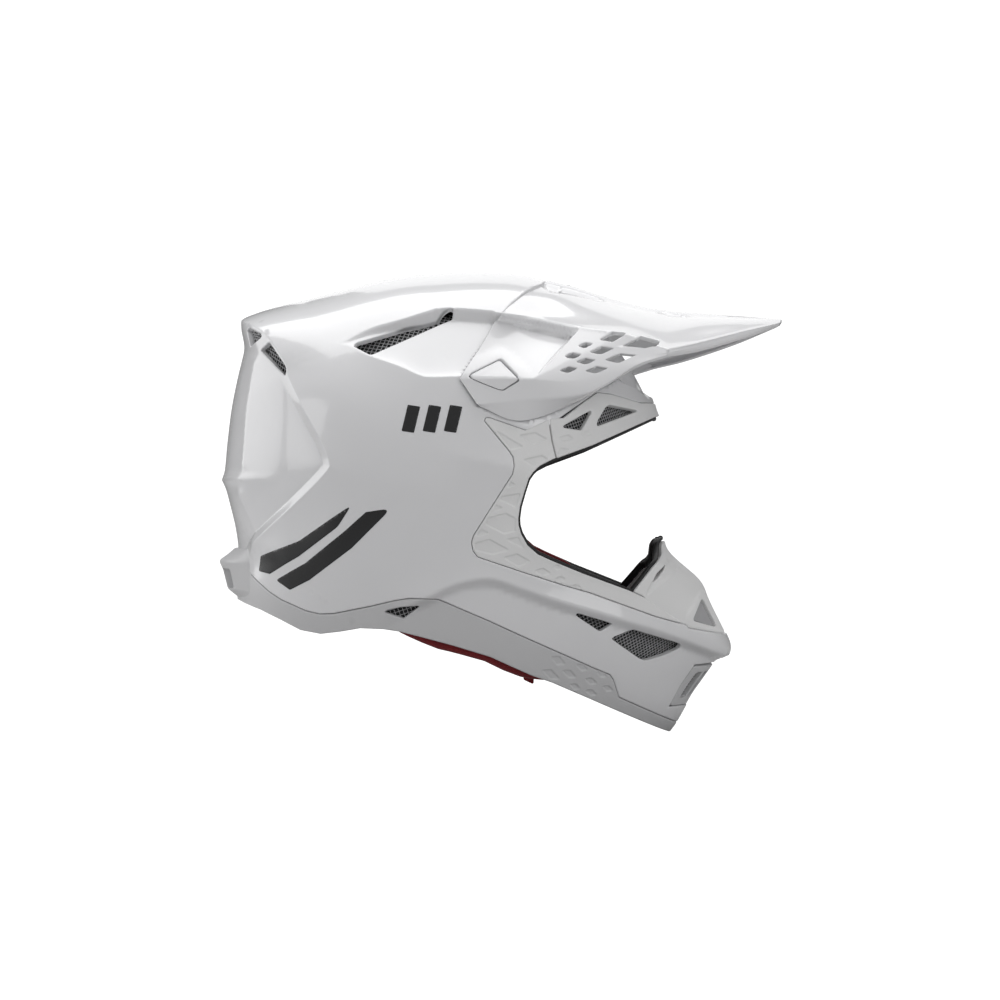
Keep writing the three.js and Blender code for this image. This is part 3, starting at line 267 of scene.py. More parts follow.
def densify(line, step, closed=True):
    line = floats(line)
    n = len(line)
    out = []
    for i in range(n if closed else n - 1):
        a, b = line[i], line[(i + 1) % n]
        k = max(1, int(math.ceil(np.linalg.norm(b - a) / step)))
        out += [a + (b - a) * j / k for j in range(k)]
    if not closed:
        out.append(line[-1])
    return floats(out)


def offset(outline, grow):
    """A closed outline grown outwards, or shrunk if grow is negative."""
    p = ccw(outline)
    n0 = -turn_left(unit(p - np.roll(p, 1, 0)))
    n1 = -turn_left(unit(np.roll(p, -1, 0) - p))
    n = unit(n0 + n1)
    slant = np.maximum(0.45, np.sum(n * n0, 1))
    return p + n * (grow / slant)[:, None]


def shift_line(line, gap):
    """An open line moved to its left."""
    line = floats(line)
    return line + left_normals(line) * gap


def within(points, outline):
    """Even-odd test of points in a closed outline."""
    x, y = points[:, 0], points[:, 1]
    inside = np.zeros(len(points), bool)
    for (px, py), (qx, qy) in zip(outline, np.roll(outline, -1, 0)):
        if py == qy:
            continue
        spans = (py > y) != (qy > y)
        if spans.any():
            inside ^= spans & (x < (qx - px) * (y - py) / (qy - py) + px)
    return inside


def segment_distance(points, start, end, chunk=3000):
    """Distance to the nearest segment, its index and the nearest point on it."""
    distance = np.full(len(points), 1e9)
    index = np.zeros(len(points), int)
    nearest = np.zeros_like(points)
    along = end - start
    len2 = np.maximum((along ** 2).sum(1), 1e-12)
    for s in range(0, len(points), chunk):
        p = points[s:s + chunk]
        t = np.clip(((p[:, None] - start[None]) * along[None]).sum(2) / len2[None], 0, 1)
        foot = start[None] + along[None] * t[..., None]
        d2 = ((p[:, None] - foot) ** 2).sum(2)
        i = d2.argmin(1)
        k = np.arange(len(p))
        distance[s:s + chunk] = np.sqrt(d2[k, i])
        index[s:s + chunk] = i
        nearest[s:s + chunk] = foot[k, i]
    return distance, index, nearest


class Line:
    """Open line: (x, z) to signed distance (positive to its left) and share of length."""
    def __init__(self, points, smooth=0):
        self.points = smooth_line(points, smooth) if smooth else floats(points)
        self.start, self.end = self.points[:-1], self.points[1:]
        self.length = arc_length(self.points)

    def __call__(self, x, z):
        points = np.stack([x, z], 1)
        distance, i, nearest = segment_distance(points, self.start, self.end)
        along, to = self.end[i] - self.start[i], points - self.start[i]
        side = np.sign(along[:, 0] * to[:, 1] - along[:, 1] * to[:, 0])
        share = (self.length[i] + np.linalg.norm(nearest - self.start[i], axis=1)) / self.length[-1]
        return distance * np.where(side == 0, 1, side), share


class Poly:
    """Closed outline: (x, z) to signed distance, positive inside."""
    def __init__(self, points):
        self.points = ccw(points)
        self.ends = np.roll(self.points, -1, 0)

    def __call__(self, x, z):
        points = np.stack([x, z], 1)
        distance = segment_distance(points, self.points, self.ends)[0]
        return np.where(within(points, self.points), distance, -distance)


def box_mask(points, margin, x, z):
    low, high = points.min(0) - margin, points.max(0) + margin
    return (x > low[0]) & (x < high[0]) & (z > low[1]) & (z < high[1])


# ---------------------------------------------------------------- shell surface
full_radius = angle_function(RADIUS_KNOTS, 1, blur=0.7)
soft_radius = angle_function(RADIUS_KNOTS, 1, blur=9.0)
edge_power = angle_function(POWER_KNOTS, 1, blur=7.0)
width_power = angle_function(POWER_KNOTS, 2, blur=7.0)

# the middle of the shell is an ellipse fitted to the soft radius, widened a little
_t = np.radians(np.arange(0, 360, 2.0))
_basis = np.stack([np.ones_like(_t), np.cos(2 * _t), np.sin(2 * _t)], 1)
ELLIPSE = np.linalg.lstsq(_basis, 1 / soft_radius(np.degrees(_t)) ** 2, rcond=None)[0] * 0.86


def polar(x, z):
    dx, dz = x - CENTRE_X, z - CENTRE_Z
    return dx, dz, np.hypot(dx, dz), np.degrees(np.arctan2(dz, dx))


def half_width(x, z):
    dx, dz, distance, angle = polar(x, z)
    radius, soft = full_radius(angle), soft_radius(angle)
    r = np.clip(distance / radius, 0, 1)
    outer, rim = ease(0, 0.6, r), ease(0.66, 0.97, r)
    reach = soft + (radius - soft) * rim
    middle = (ELLIPSE[0] * distance * distance + ELLIPSE[1] * (dx * dx - dz * dz)
              + 2 * ELLIPSE[2] * dx * dz)
    g = (1 - outer) * middle + outer * np.clip(distance / reach, 0, 1) ** edge_power(angle)
    power = 1 / (2 + (width_power(angle) - 2) * outer)
    return HALF_WIDTH * np.maximum(0, 1 - np.minimum(g, 1)) ** power


class ShellSurface:
    """Left half of the shell; past the mid plane it runs on to the right."""
    def point(self, flat):
        dx, dz, length, angle = polar(flat[:, 0], flat[:, 1])
        radius = full_radius(angle)
        rho = length / radius
        k = np.sin(np.clip(rho, 0, 2) * np.pi / 2) * radius / np.maximum(length, 1e-6)
        k = np.where(length > 1e-6, k, np.pi / 2)
        x, z = CENTRE_X + dx * k, CENTRE_Z + dz * k
        return np.stack([x, half_width(x, z) * np.where(rho > 1, -1, 1), z], 1)

    def flatten(self, outline):
        """Side-view points to flat coordinates."""
        outline = floats(outline)
        dx, dz, distance, angle = polar(outline[:, 0], outline[:, 1])
        radius = full_radius(angle)
        r = distance / radius
        rho = np.where(r <= 1, 2 / np.pi * np.arcsin(np.clip(r, 0, 1)), 1 + (r - 1))
        safe = np.maximum(distance, 1e-9)
        return np.stack([CENTRE_X + dx / safe * rho * radius,
                         CENTRE_Z + dz / safe * rho * radius], 1)

    def from_mid(self, flat):
        """Flat distance to the mid plane, positive on the left."""
        _, _, length, angle = polar(flat[:, 0], flat[:, 1])
        return full_radius(angle) - length

    def mid_line(self, step):
        """Points of the mid plane, and whether they form a closed line."""
        angle = np.arange(0, 360, 360 / int(2 * np.pi * 165 / step))
        radius = full_radius(angle)
        t = np.radians(angle)
        line = np.stack([CENTRE_X + radius * np.cos(t), CENTRE_Z + radius * np.sin(t)], 1)
        return line, True


SHELL = ShellSurface()


# ---------------------------------------------------------------- materials
def add_bump(tree, coords, shader, scale, strength, distance=0.001, texture="Noise"):
    height = tree.nodes.new("ShaderNodeTex" + texture)
    height.inputs["Scale"].default_value = scale
    if texture == "Noise":
        height.inputs["Detail"].default_value = 3
    bump = tree.nodes.new("ShaderNodeBump")
    bump.inputs["Strength"].default_value = strength
    bump.inputs["Distance"].default_value = distance
    tree.links.new(coords, height.inputs["Vector"])
    tree.links.new(height.outputs[0], bump.inputs["Height"])
    tree.links.new(bump.outputs[0], shader.inputs["Normal"])


def add_mottle(tree, coords, shader, color, other, scale, low, high):
    """Noise between low and high fades the colour into the other one."""
    noise = tree.nodes.new("ShaderNodeTexNoise")
    noise.inputs["Scale"].default_value = scale
    noise.inputs["Detail"].default_value = 4
    spread = tree.nodes.new("ShaderNodeMapRange")
    spread.inputs[1].default_value = low
    spread.inputs[2].default_value = high
    blend = tree.nodes.new("ShaderNodeMix")
    blend.data_type = "RGBA"
    blend.inputs[6].default_value = (*color, 1)
    blend.inputs[7].default_value = (*other, 1)
    tree.links.new(coords, noise.inputs["Vector"])
    tree.links.new(noise.outputs[0], spread.inputs[0])
    tree.links.new(spread.outputs[0], blend.inputs[0])
    tree.links.new(blend.outputs[2], shader.inputs["Base Color"])


def make_material(name, color, rough, metal=0.0, coat=0.0, coat_rough=0.05, sheen=0.0,
                  bump=None, mottle=None):
    material = bpy.data.materials.new(name)
    material.use_nodes = True
    material.diffuse_color = (*color, 1)
    tree = material.node_tree
    shader = tree.nodes["Principled BSDF"]
    values = {"Base Color": (*color, 1), "Roughness": rough, "Metallic": metal,
              "Coat Weight": coat, "Coat Roughness": coat_rough, "Sheen Weight": sheen}
    for key, value in values.items():
        shader.inputs[key].default_value = value
    if bump:
        coords = tree.nodes.new("ShaderNodeTexCoord").outputs["Object"]
        add_bump(tree, coords, shader, **bump)
        if mottle:
            add_mottle(tree, coords, shader, color, **mottle)
    return material


def grey(value, blue=None):
    return (value, value, value if blue is None else blue)


MATERIALS = {
    "shell": make_material("gloss_white", grey(0.865, 0.88), rough=0.2, coat=0.75,
                           coat_rough=0.04),
    "trim": make_material("satin_white", grey(0.87), rough=0.42,
                          bump=dict(scale=900, strength=0.05)),
    "trim_base": make_material("satin_base", grey(0.66, 0.67), rough=0.36,
                               bump=dict(scale=900, strength=0.04)),
    "guard": make_material("guard_grey_white", grey(0.86), rough=0.5,
                           bump=dict(scale=1200, strength=0.08)),
    "insert": make_material("insert_grey", grey(0.42, 0.43), rough=0.6,
                            bump=dict(scale=1500, strength=0.1)),
    "rubber": make_material("black_rubber", grey(0.012, 0.013), rough=0.55,
                            bump=dict(scale=1500, strength=0.1)),
    "plastic": make_material("black_plastic", grey(0.018, 0.019), rough=0.38),
    "wire": make_material("screen_wire", grey(0.56, 0.57), rough=0.4, metal=0.25),
    # the dark material: the mouth filter foam's own colour, and also painted shade on the sheets
    # behind the vent screens and in the exhaust openings
    "dark": make_material("filter_foam_and_painted_shade", grey(0.03, 0.032), rough=0.95,
                          bump=dict(scale=700, strength=0.5, distance=0.002)),
    "eps": make_material("eps_beads", grey(0.045, 0.048), rough=0.75,
                         bump=dict(texture="Voronoi", scale=330, strength=0.35, distance=0.0015)),
    "slip": make_material("slip_film", (0.55, 0.58, 0.30), rough=0.35),
    "red": make_material("red_knit", (0.24, 0.008, 0.012), rough=0.85, sheen=0.25,
                         bump=dict(scale=1400, strength=0.3),
                         mottle=dict(scale=260, other=(0.17, 0.004, 0.008), low=0.35, high=0.7)),
    "knit": make_material("black_knit", grey(0.014, 0.015), rough=0.9, sheen=0.2,
                          bump=dict(scale=1500, strength=0.35)),
    "web": make_material("black_webbing", grey(0.016, 0.017), rough=0.8,
                         bump=dict(texture="Wave", scale=420, strength=0.4)),
    "steel": make_material("zinc_steel", grey(0.62, 0.63), rough=0.28, metal=1.0,
                           bump=dict(scale=60, strength=0.03)),
    "graphic": make_material("graphic_black", grey(0.012, 0.013), rough=0.25, coat=0.5),
    # kept for graphics in a second colour; nothing wears it yet
    "graphic_grey": make_material("graphic_grey", grey(0.30, 0.31), rough=0.3, coat=0.5),
}


# ---------------------------------------------------------------- mesh building
def to_metres(points):
    return (floats(points) + SHIFT) / 1000.0


def link_object(name, mesh):
    obj = bpy.data.objects.new(name, mesh)
    bpy.context.scene.collection.objects.link(obj)
    return obj


def smooth_faces(mesh):
    for face in mesh.polygons:
        face.use_smooth = True


def mesh_object(name, verts, faces, material, body="helmet", replaces=None, normals=None):
    mesh = bpy.data.meshes.new(name)
    mesh.from_pydata(to_metres(verts).tolist(), [], [list(map(int, face)) for face in faces])
    mesh.validate(clean_customdata=False)
    mesh.update()
    mesh.shade_smooth()
    smooth_faces(mesh)
    if normals is not None:
        mesh.normals_split_custom_set_from_vertices([tuple(map(float, n)) for n in normals])
    obj = link_object(name, mesh)
    mesh.materials.append(MATERIALS[material])
    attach(obj, body)
    if replaces:
        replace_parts(obj, replaces)
    return obj


def recalc_normals(obj, weld=False):
    mesh = bmesh.new()
    mesh.from_mesh(obj.data)
    if weld:
        bmesh.ops.remove_doubles(mesh, verts=mesh.verts, dist=1e-6)
    bmesh.ops.recalc_face_normals(mesh, faces=mesh.faces)
    mesh.to_mesh(obj.data)
    mesh.free()


def bake_modifiers(obj):
    graph = bpy.context.evaluated_depsgraph_get()
    mesh = bpy.data.meshes.new_from_object(obj.evaluated_get(graph), depsgraph=graph)
    obj.modifiers.clear()
    obj.data = mesh
    smooth_faces(mesh)
    return mesh


def smooth_group():
    """Node group: smooth shading, with edges over 32 degrees kept sharp."""
    group = bpy.data.node_groups.new("smooth_by_angle", "GeometryNodeTree")
    for direction in ("INPUT", "OUTPUT"):
        group.interface.new_socket("Geometry", in_out=direction,
                                   socket_type="NodeSocketGeometry")
    source, result, faces, edges, angle, over = (group.nodes.new(kind) for kind in (
        "NodeGroupInput", "NodeGroupOutput", "GeometryNodeSetShadeSmooth",
        "GeometryNodeSetShadeSmooth", "GeometryNodeInputMeshEdgeAngle", "FunctionNodeCompare"))
    faces.domain = "FACE"
    edges.domain = "EDGE"
    edges.inputs["Shade Smooth"].default_value = False
    over.data_type = "FLOAT"
    over.operation = "GREATER_THAN"
    over.inputs[1].default_value = math.radians(32)
    link = group.links.new
    link(source.outputs[0], faces.inputs[0])
    link(faces.outputs[0], edges.inputs[0])
    link(angle.outputs[0], over.inputs[0])
    link(over.outputs[0], edges.inputs["Selection"])
    link(edges.outputs[0], result.inputs[0])
    return group


SMOOTH_GROUP = smooth_group()


def sharpen(obj):
    obj.modifiers.new("smooth_faces", "NODES").node_group = SMOOTH_GROUP


def grid_object(name, points, material, body="helmet", replaces=None, wrap=(False, True),
                second=None, pick=None):
    """A (rows, columns, 3) grid as a skin; open tubes get end faces.

    wrap: whether rows and columns close on themselves. pick(centre) gives 1 for faces that
    wear the second material.
    """
    rows, columns = points.shape[:2]

    def index(i, j):
        return (i % rows) * columns + (j % columns)

    faces = [(index(i, j), index(i + 1, j), index(i + 1, j + 1), index(i, j + 1))
             for i in range(rows if wrap[0] else rows - 1)
             for j in range(columns if wrap[1] else columns - 1)]
    if wrap == (False, True):
        faces.append([index(0, j) for j in range(columns)])
        faces.append([index(rows - 1, j) for j in range(columns)][::-1])
    verts = points.reshape(-1, 3)
    obj = mesh_object(name, verts, faces, material, body, replaces)
    if second:
        obj.data.materials.append(MATERIALS[second])
        for polygon, face in zip(obj.data.polygons, faces):
            polygon.material_index = pick(sum((verts[v] for v in face), np.zeros(3)) / len(face))
    recalc_normals(obj)
    return obj


def lathe(name, origin, axis, profile, material, body="helmet", replaces=None):
    """profile: (radius, height along axis) from one end to the other."""
    n = 40
    axis = unit(floats([axis]))[0]
    a = unit(np.cross([axis], [[0.3, 0.2, 0.93]]))[0]
    b = np.cross(axis, a)
    m = len(profile)
    verts, faces = [], []
    for i in range(n):
        w = 2 * math.pi * i / n
        for r, h in profile:
            verts.append(floats(origin) + axis * h + (a * math.cos(w) + b * math.sin(w)) * r)
    for i in range(n):
        here, after = i * m, (i + 1) % n * m
        for j in range(m - 1):
            faces.append((here + j, after + j, after + j + 1, here + j + 1))
    obj = mesh_object(name, verts, faces, material, body, replaces)
    recalc_normals(obj, weld=True)
    sharpen(obj)


def tube_mesh(name, lines, radius, sides, material, body="helmet", replaces=None, closed=False):
    """Open-ended or closed tubes along lines."""
    verts, faces, normals = [], [], []
    for line in lines:
        line = floats(line)
        n = len(line)
        along = np.roll(line, -1, 0) - np.roll(line, 1, 0) if closed else np.gradient(line, axis=0)
        along = unit(along)
        first = len(verts)
        a = unit(np.cross(along, np.array([0.31, 0.17, 0.93])))
        for i in range(1, n):       # keep the section from twisting
            v = a[i - 1] - (a[i - 1] @ along[i]) * along[i]
            a[i] = v / max(np.linalg.norm(v), 1e-9)
        b = np.cross(along, a)
        for i in range(n):
            for j in range(sides):
                w = 2 * math.pi * j / sides
                normal = a[i] * math.cos(w) + b[i] * math.sin(w)
                verts.append(line[i] + normal * radius)
                normals.append(normal)
        for i in range(n if closed else n - 1):
            here, after = first + i * sides, first + (i + 1) % n * sides
            for j in range(sides):
                k = (j + 1) % sides
                faces.append((here + j, here + k, after + k, after + j))
    mesh_object(name, verts, faces, material, body, replaces, normals)


# ---------------------------------------------------------------- skins cut to outlines
def surface_normals(surface, flat):
    e1, e2 = np.array([0.25, 0.0]), np.array([0.0, 0.25])
    return unit(np.cross(surface.point(flat + e2) - surface.point(flat - e2),
                         surface.point(flat + e1) - surface.point(flat - e1)))


def surface_tangents(surface, flat):
    h = 0.3
    return [(surface.point(flat + step) - surface.point(flat - step)) / (2 * h)
            for step in (np.array([h, 0]), np.array([0, h]))]


def displaced(surface, flat, relief, lift):
    """Surface points moved outwards by lift plus relief(x, z, flat)."""
    points = surface.point(flat)
    height = lift + (relief(points[:, 0], points[:, 2], flat) if relief else 0.0)
    height = np.broadcast_to(height, (len(flat),))[:, None]
    return points + surface_normals(surface, flat) * height


def triangulate(surface, loops, spacing, edge, extra, creases):
    """Flat mesh of the region (first loop) less its holes, on the left of the mid plane.

    Returns its points, its triangles and the start and end of the outline segments.
    """
    start = np.concatenate(loops)
    end = np.concatenate([np.roll(loop, -1, 0) for loop in loops])
    kept = (surface.from_mid(start) > -0.05) | (surface.from_mid(end) > -0.05)
    start, end = start[kept], end[kept]

    def inside(points, margin):
        keep = within(points, loops[0]) & (surface.from_mid(points) > margin)
        for hole in loops[1:]:
            keep &= ~within(points, hole)
        return keep

    def clear(points, gap):
        return points[segment_distance(points, start, end)[0] > gap]

    # staggered grid inside, rows of points beside the outlines
    low, high = loops[0].min(0), loops[0].max(0)
    grid_x = np.arange(low[0], high[0], spacing)
    grid = np.concatenate([
        np.stack([grid_x + (spacing / 2 if j % 2 else 0), np.full_like(grid_x, y)], 1)
        for j, y in enumerate(np.arange(low[1], high[1], spacing * 0.866))])
    gaps = [0.3 * edge, 0.65 * edge, 1.15 * edge, 1.15 * edge + 0.9]
    free = [clear(grid[inside(grid, spacing * 0.45)], gaps[-1] + 0.45 * spacing)]
    normal = turn_left(unit(end - start))
    middle = (start + end) / 2
    for gap in gaps:
        for sign in (1, -1):
            row = (start if gap == gaps[1] else middle) + normal * gap * sign
            free.append(clear(row[inside(row, 0.5)], gap * 0.93))
    if extra is not None:
        free.append(clear(extra[inside(extra, 0.6)], gaps[-1]))
    free = np.concatenate(free)

    points, edges = [], []

    def add_chain(chain, closed=True):
        first, n = len(points), len(chain)
        points.extend(chain.tolist())
        edges.extend((first + i, first + (i + 1) % n) for i in range(n if closed else n - 1))

    for loop in loops:
        add_chain(loop)
    if (surface.from_mid(loops[0]) < spacing).any():
        add_chain(*surface.mid_line(spacing * 0.85))
    if creases is not None:
        crease_end = np.concatenate([np.roll(loop, -1, 0) for loop in creases])
        for loop in creases:
            add_chain(loop)
        free = free[segment_distance(free, np.concatenate(creases), crease_end)[0] > 0.5]
    # thin near duplicates
    cell = np.round(free / (0.32 if edge > 0.3 else 0.2)).astype(np.int64)
    _, first_in_cell = np.unique(cell, axis=0, return_index=True)
    points += free[np.sort(first_in_cell)].tolist()

    verts, _, faces, *_ = delaunay_2d_cdt([Vector(p) for p in points], edges, [], 0, 1e-4)
    verts = np.array([list(v) for v in verts])
    faces = np.array([list(face) for face in faces if len(face) == 3], int)
    faces = faces[inside(verts[faces].mean(1), 1e-4)]
    a, b, c = verts[faces[:, 0]], verts[faces[:, 1]], verts[faces[:, 2]]
    area = 0.5 * ((b[:, 0] - a[:, 0]) * (c[:, 1] - a[:, 1])
                  - (c[:, 0] - a[:, 0]) * (b[:, 1] - a[:, 1]))
    faces = np.where((area > 0)[:, None], faces, faces[:, ::-1])
    faces = faces[np.abs(area) > 1e-7]
    used = np.unique(faces)
    renumber = -np.ones(len(verts), int)
    renumber[used] = np.arange(len(used))
    return verts[used], renumber[faces], start, end


def without(v, normal):
    """v less its part along the normal."""
    return v - (v * normal).sum(1, keepdims=True) * normal


def patch(name, surface, region, holes=(), relief=None, thick=3.0, spacing=2.6, edge=0.7,
          side=0, lift=0.0, material="shell", body="helmet", replaces=None,
          is_flat=False, extra=None, creases=None):
    """A skin on a surface, cut to side-view outlines, with rounded edges and a thickness.

    side: 0 both halves joined at the mid plane, 1 left, -1 right. is_flat: the outlines are in
    flat coordinates. extra: more flat points; creases: flat loops that mesh edges must follow.
    """
    step = max(1.0, min(1.6, spacing * 0.6))
    loops = [densify(ccw(line), step) for line in (region, *holes)]
    if not is_flat:
        loops = [densify(surface.flatten(loop), step * 1.15) for loop in loops]
    flat, tris, start, end = triangulate(surface, loops, spacing, edge, extra, creases)
    n = len(flat)
    on_mid = np.abs(surface.from_mid(flat)) < 2e-2

    # free edges: used by one triangle and off the mid plane
    pairs = np.concatenate([tris[:, [0, 1]], tris[:, [1, 2]], tris[:, [2, 0]]])
    _, inverse, count = np.unique(np.sort(pairs, 1), axis=0, return_inverse=True,
                                  return_counts=True)
    border = pairs[count[inverse.ravel()] == 1]
    border = border[~(on_mid[border[:, 0]] & on_mid[border[:, 1]])]
    rim = np.unique(border)
    on_rim = np.zeros(n, bool)
    on_rim[rim] = True

    base_normal = surface_normals(surface, flat)
    tan1, tan2 = surface_tangents(surface, flat)
    scale = 0.5 * (np.linalg.norm(tan1, axis=1) + np.linalg.norm(tan2, axis=1))
    edge_gap, _, nearest = segment_distance(flat, start, end)
    edge_gap = edge_gap * np.clip(scale, 0.6, 2.2)
    top = displaced(surface, flat, relief, lift)
    h = 0.35 if creases is None else 0.16
    ahead, behind, above, below = (displaced(surface, flat + d, relief, lift)
                                   for d in ([h, 0], [-h, 0], [0, h], [0, -h]))
    normal = unit(np.cross(above - below, ahead - behind))

    # outward direction at and near the free edge
    to_edge = nearest - flat
    out3 = tan1 * to_edge[:, :1] + tan2 * to_edge[:, 1:]
    rim_out = np.zeros((n, 3))
    out2 = -turn_left(flat[border[:, 1]] - flat[border[:, 0]])
    for k in (0, 1):
        v = border[:, k]
        np.add.at(rim_out, v, tan1[v] * out2[:, :1] + tan2[v] * out2[:, 1:])
    out3 = unit(without(np.where(on_rim[:, None], rim_out, out3), normal))

    # quarter-round edge
    gap = np.clip(np.where(on_rim, 0, edge_gap), 0, edge)
    drop = edge - np.sqrt(np.maximum(edge * edge - (edge - gap) ** 2, 0))
    tilt = np.arcsin(np.clip((edge - gap) / edge, 0, 1))
    outer_normal = unit(normal * np.cos(tilt)[:, None] + out3 * np.sin(tilt)[:, None])

    # outer skin, inner skin, and the inner rim doubled so that it shades apart
    rim_index = -np.ones(n, int)
    rim_index[rim] = np.arange(len(rim)) + 2 * n
    inner = top - base_normal * thick
    half = np.concatenate([top - base_normal * drop[:, None], inner, inner[rim]])
    half_normals = np.concatenate([outer_normal, -base_normal,
                                   unit(without(rim_out[rim], base_normal[rim]))])
    half_faces = tris[:, ::-1].tolist() + (tris + n).tolist()
    half_faces += [[a, b, rim_index[b], rim_index[a]] for a, b in border]

    m = len(half)
    signs = (side,) if side else (1, -1)
    verts = np.concatenate([half * [1, sign, 1] for sign in signs])
    normals = np.concatenate([half_normals * [1, sign, 1] for sign in signs])
    faces = [[i + k * m for i in face[::sign]]
             for k, sign in enumerate(signs) for face in half_faces]
    if side == 0:       # weld the halves on the mid plane
        welded = np.where(np.concatenate([on_mid, on_mid, on_mid[rim]]))[0]
        verts[welded, 1] = 0
        normals[welded, 1] = 0
        target = np.arange(2 * m)
        target[m + welded] = welded
        faces = [target[face] for face in faces]
        used = np.unique(np.concatenate(faces))
        renumber = -np.ones(2 * m, int)
        renumber[used] = np.arange(len(used))
        verts, normals = verts[used], normals[used]
        faces = [renumber[face] for face in faces]
    return mesh_object(name, verts, faces, material, body, replaces, unit(normals))


# ---------------------------------------------------------------- relief of the shell
SCALLOP_TOP = Line(table("""-116.7,255.8 -104.4,261.1 -85,270.4 -65.5,275.7 -48.6,281.1
    -42.1,283.2 -31.9,283.7 -7.4,281.8 -0.9,280.2 24.1,276.9 40.3,274.4 52.8,272.3"""), 6)
SCALLOP_LOW = Line(table("""-117,262 -108.4,260.8 -96.4,257.6 -85.1,251.5 -65.4,244.1
    -53.7,238.8 -45.9,237.2 -27.3,237.7 -0.9,238.1 22.5,238.9 28.4,241.9"""), 6)
REAR_RIDGE = Line(table("""-140.3,242.3 -128.5,220.4 -115.7,197.6 -110.4,184 -112.3,176.9
    -130.4,158.8 -155.1,136.5 -164.1,125.8 -169.6,115"""), 5)
SPOILER = Line(table("-177.7,280.6 -158.1,269.2 -148.2,258.4 -140.3,246.8 -139,238.3"), 4)
REAR_BAND = Line(table("""-157.6,257.6 -161.6,249.5 -164.1,233.7 -166.6,217 -167.7,196.4
    -168.5,174.7"""), 4)
REAR_LOW = Line(table("-173.2,171.4 -170.3,160.8 -163.8,144.6 -161.8,134.4 -165.6,123.8"), 4)
TEMPLE = Line(table("7.5,179.4 -6.9,182.6 -26.5,187.7 -54.7,195.4"), 4)
FLARE = Line(table("""-83.4,80.2 -65.2,89.4 -49.1,97.1 -33,104.9 -16.9,109 -4.1,109 12.1,103.4
    34.8,95.1 57.7,87.9 78.9,81.4 101.2,74.6 125.4,65.9 148.9,56.3"""), 6)


# Profiles: height from s, the distance to the left of a line, and u, the share of its length.
def ridge(s, width, tip=0.8):
    """A crest that fades over width, blunt over tip."""
    return np.exp(-(np.sqrt(s * s + tip * tip) - tip) / width)


def scallop(s_top, u_top, s_low, u_low):
    """A step under the upper line and a floor that rises to the lower one."""
    depth = 6.0 * ease(0.02, 0.42, u_top)
    belly = 3.2 * ease(0.05, 0.55, u_top)
    below, above = np.clip(-s_top, 0, None), np.clip(s_low, 0, None)
    v = below / np.maximum(below + above, 1e-6)
    floor = -(depth * (1 - v) * ease(0, 1, -s_top / 2.6) + belly * 4 * v * (1 - v) * 0.8)
    return np.where((s_top < 0) & (s_low > 0), floor, 0.0)


def scallop_lip(s, u, height=0.9):
    return height * ease(0.05, 0.4, u) * np.where(s > 0, np.exp(-s / 9), np.exp(s))


def scallop_ridge(s, u, height=2.4):
    return height * ease(0.0, 0.35, u) * np.where(s < 0, ridge(s, 15), np.exp(-np.abs(s) / 4))


def rear_step(s, u, high=2.3, low=-1.9, bevel=5.6):
    """The side stands proud of the rear panel, with a flat bevel between."""
    ends = ease(-0.05, 0.16, u) * ease(1.0, 0.84, u)
    f = np.clip(-s / bevel, 0, 1)
    panel = np.where(s > -bevel, high + (low - high) * f, low * np.exp((s + bevel) / 22))
    return ends * np.where(s > 0, high * np.exp(-s / 24), panel)


def band_ridge(s, u, height=2.2):
    return height * ease(0, 0.12, u) * ease(1.0, 0.9, u) * ridge(s, 7, 0.7)


def rear_low_ridge(s, u, height=1.8):
    return height * ease(0, 0.2, u) * ease(1.0, 0.8, u) * ridge(s, 7, 0.7)


def spoiler_edge(s, u, height=2.2):
    return height * ease(1.0, 0.7, u) * np.where(s > 0, np.exp(-s / 14), np.exp(s / 2.0))


def temple_crease(s, u, height=1.3):
    return height * ease(1.0, 0.25, u) * ridge(s, 10, 1.6)


def flare_beam(s, u, height=3.4, undercut=1.2):
    """Proud above the line, undercut below it."""
    a = ease(0.0, 0.16, u)
    fall = ease(0, 1, -s / 8.0) * np.exp(-np.clip(-s - 8, 0, None) / 26.0)
    above = height * a * np.exp(-s / 15)
    below = height * a * np.exp(s / 30.0)
    # the product keeps this grouping so that the step is continuous to the last digit
    cut = (height * a + undercut * a) * ease(0, 1, -s / 8.0)
    cut = cut * np.exp(-np.clip(-s - 8, 0, None) / 26.0)
    return np.where(s > 0, above, below - cut)


def near(lines, margin, profile, x, z):
    """A profile of one or more lines, evaluated only near the first."""
    k = box_mask(lines[0].points, margin, x, z)
    out = np.zeros_like(x)
    out[k] = profile(*(value for line in lines for value in line(x[k], z[k])))
    return out


def shell_relief(x, z):
    d = near((SCALLOP_TOP, SCALLOP_LOW), 45, scallop, x, z)
    d += near((SCALLOP_TOP,), 30, scallop_lip, x, z)
    d += near((SCALLOP_LOW,), 70, scallop_ridge, x, z)
    d += near((REAR_RIDGE,), 70, rear_step, x, z)
    d += near((REAR_BAND,), 45, band_ridge, x, z)
    d += near((REAR_LOW,), 45, rear_low_ridge, x, z)
    # level fin across the back
    fin_z, fin_height = 173.0, 4.6
    fin = np.where(z > fin_z, np.exp(-(z - fin_z) / 6.0), np.exp(-(fin_z - z) / 9.0))
    d += fin_height * np.minimum(fin, 1 - 0.06) * ease(-142, -172, x)
    d += near((SPOILER,), 50, spoiler_edge, x, z)
    d += near((TEMPLE,), 50, temple_crease, x, z)
    d += near((FLARE,), 75, flare_beam, x, z)
    return d


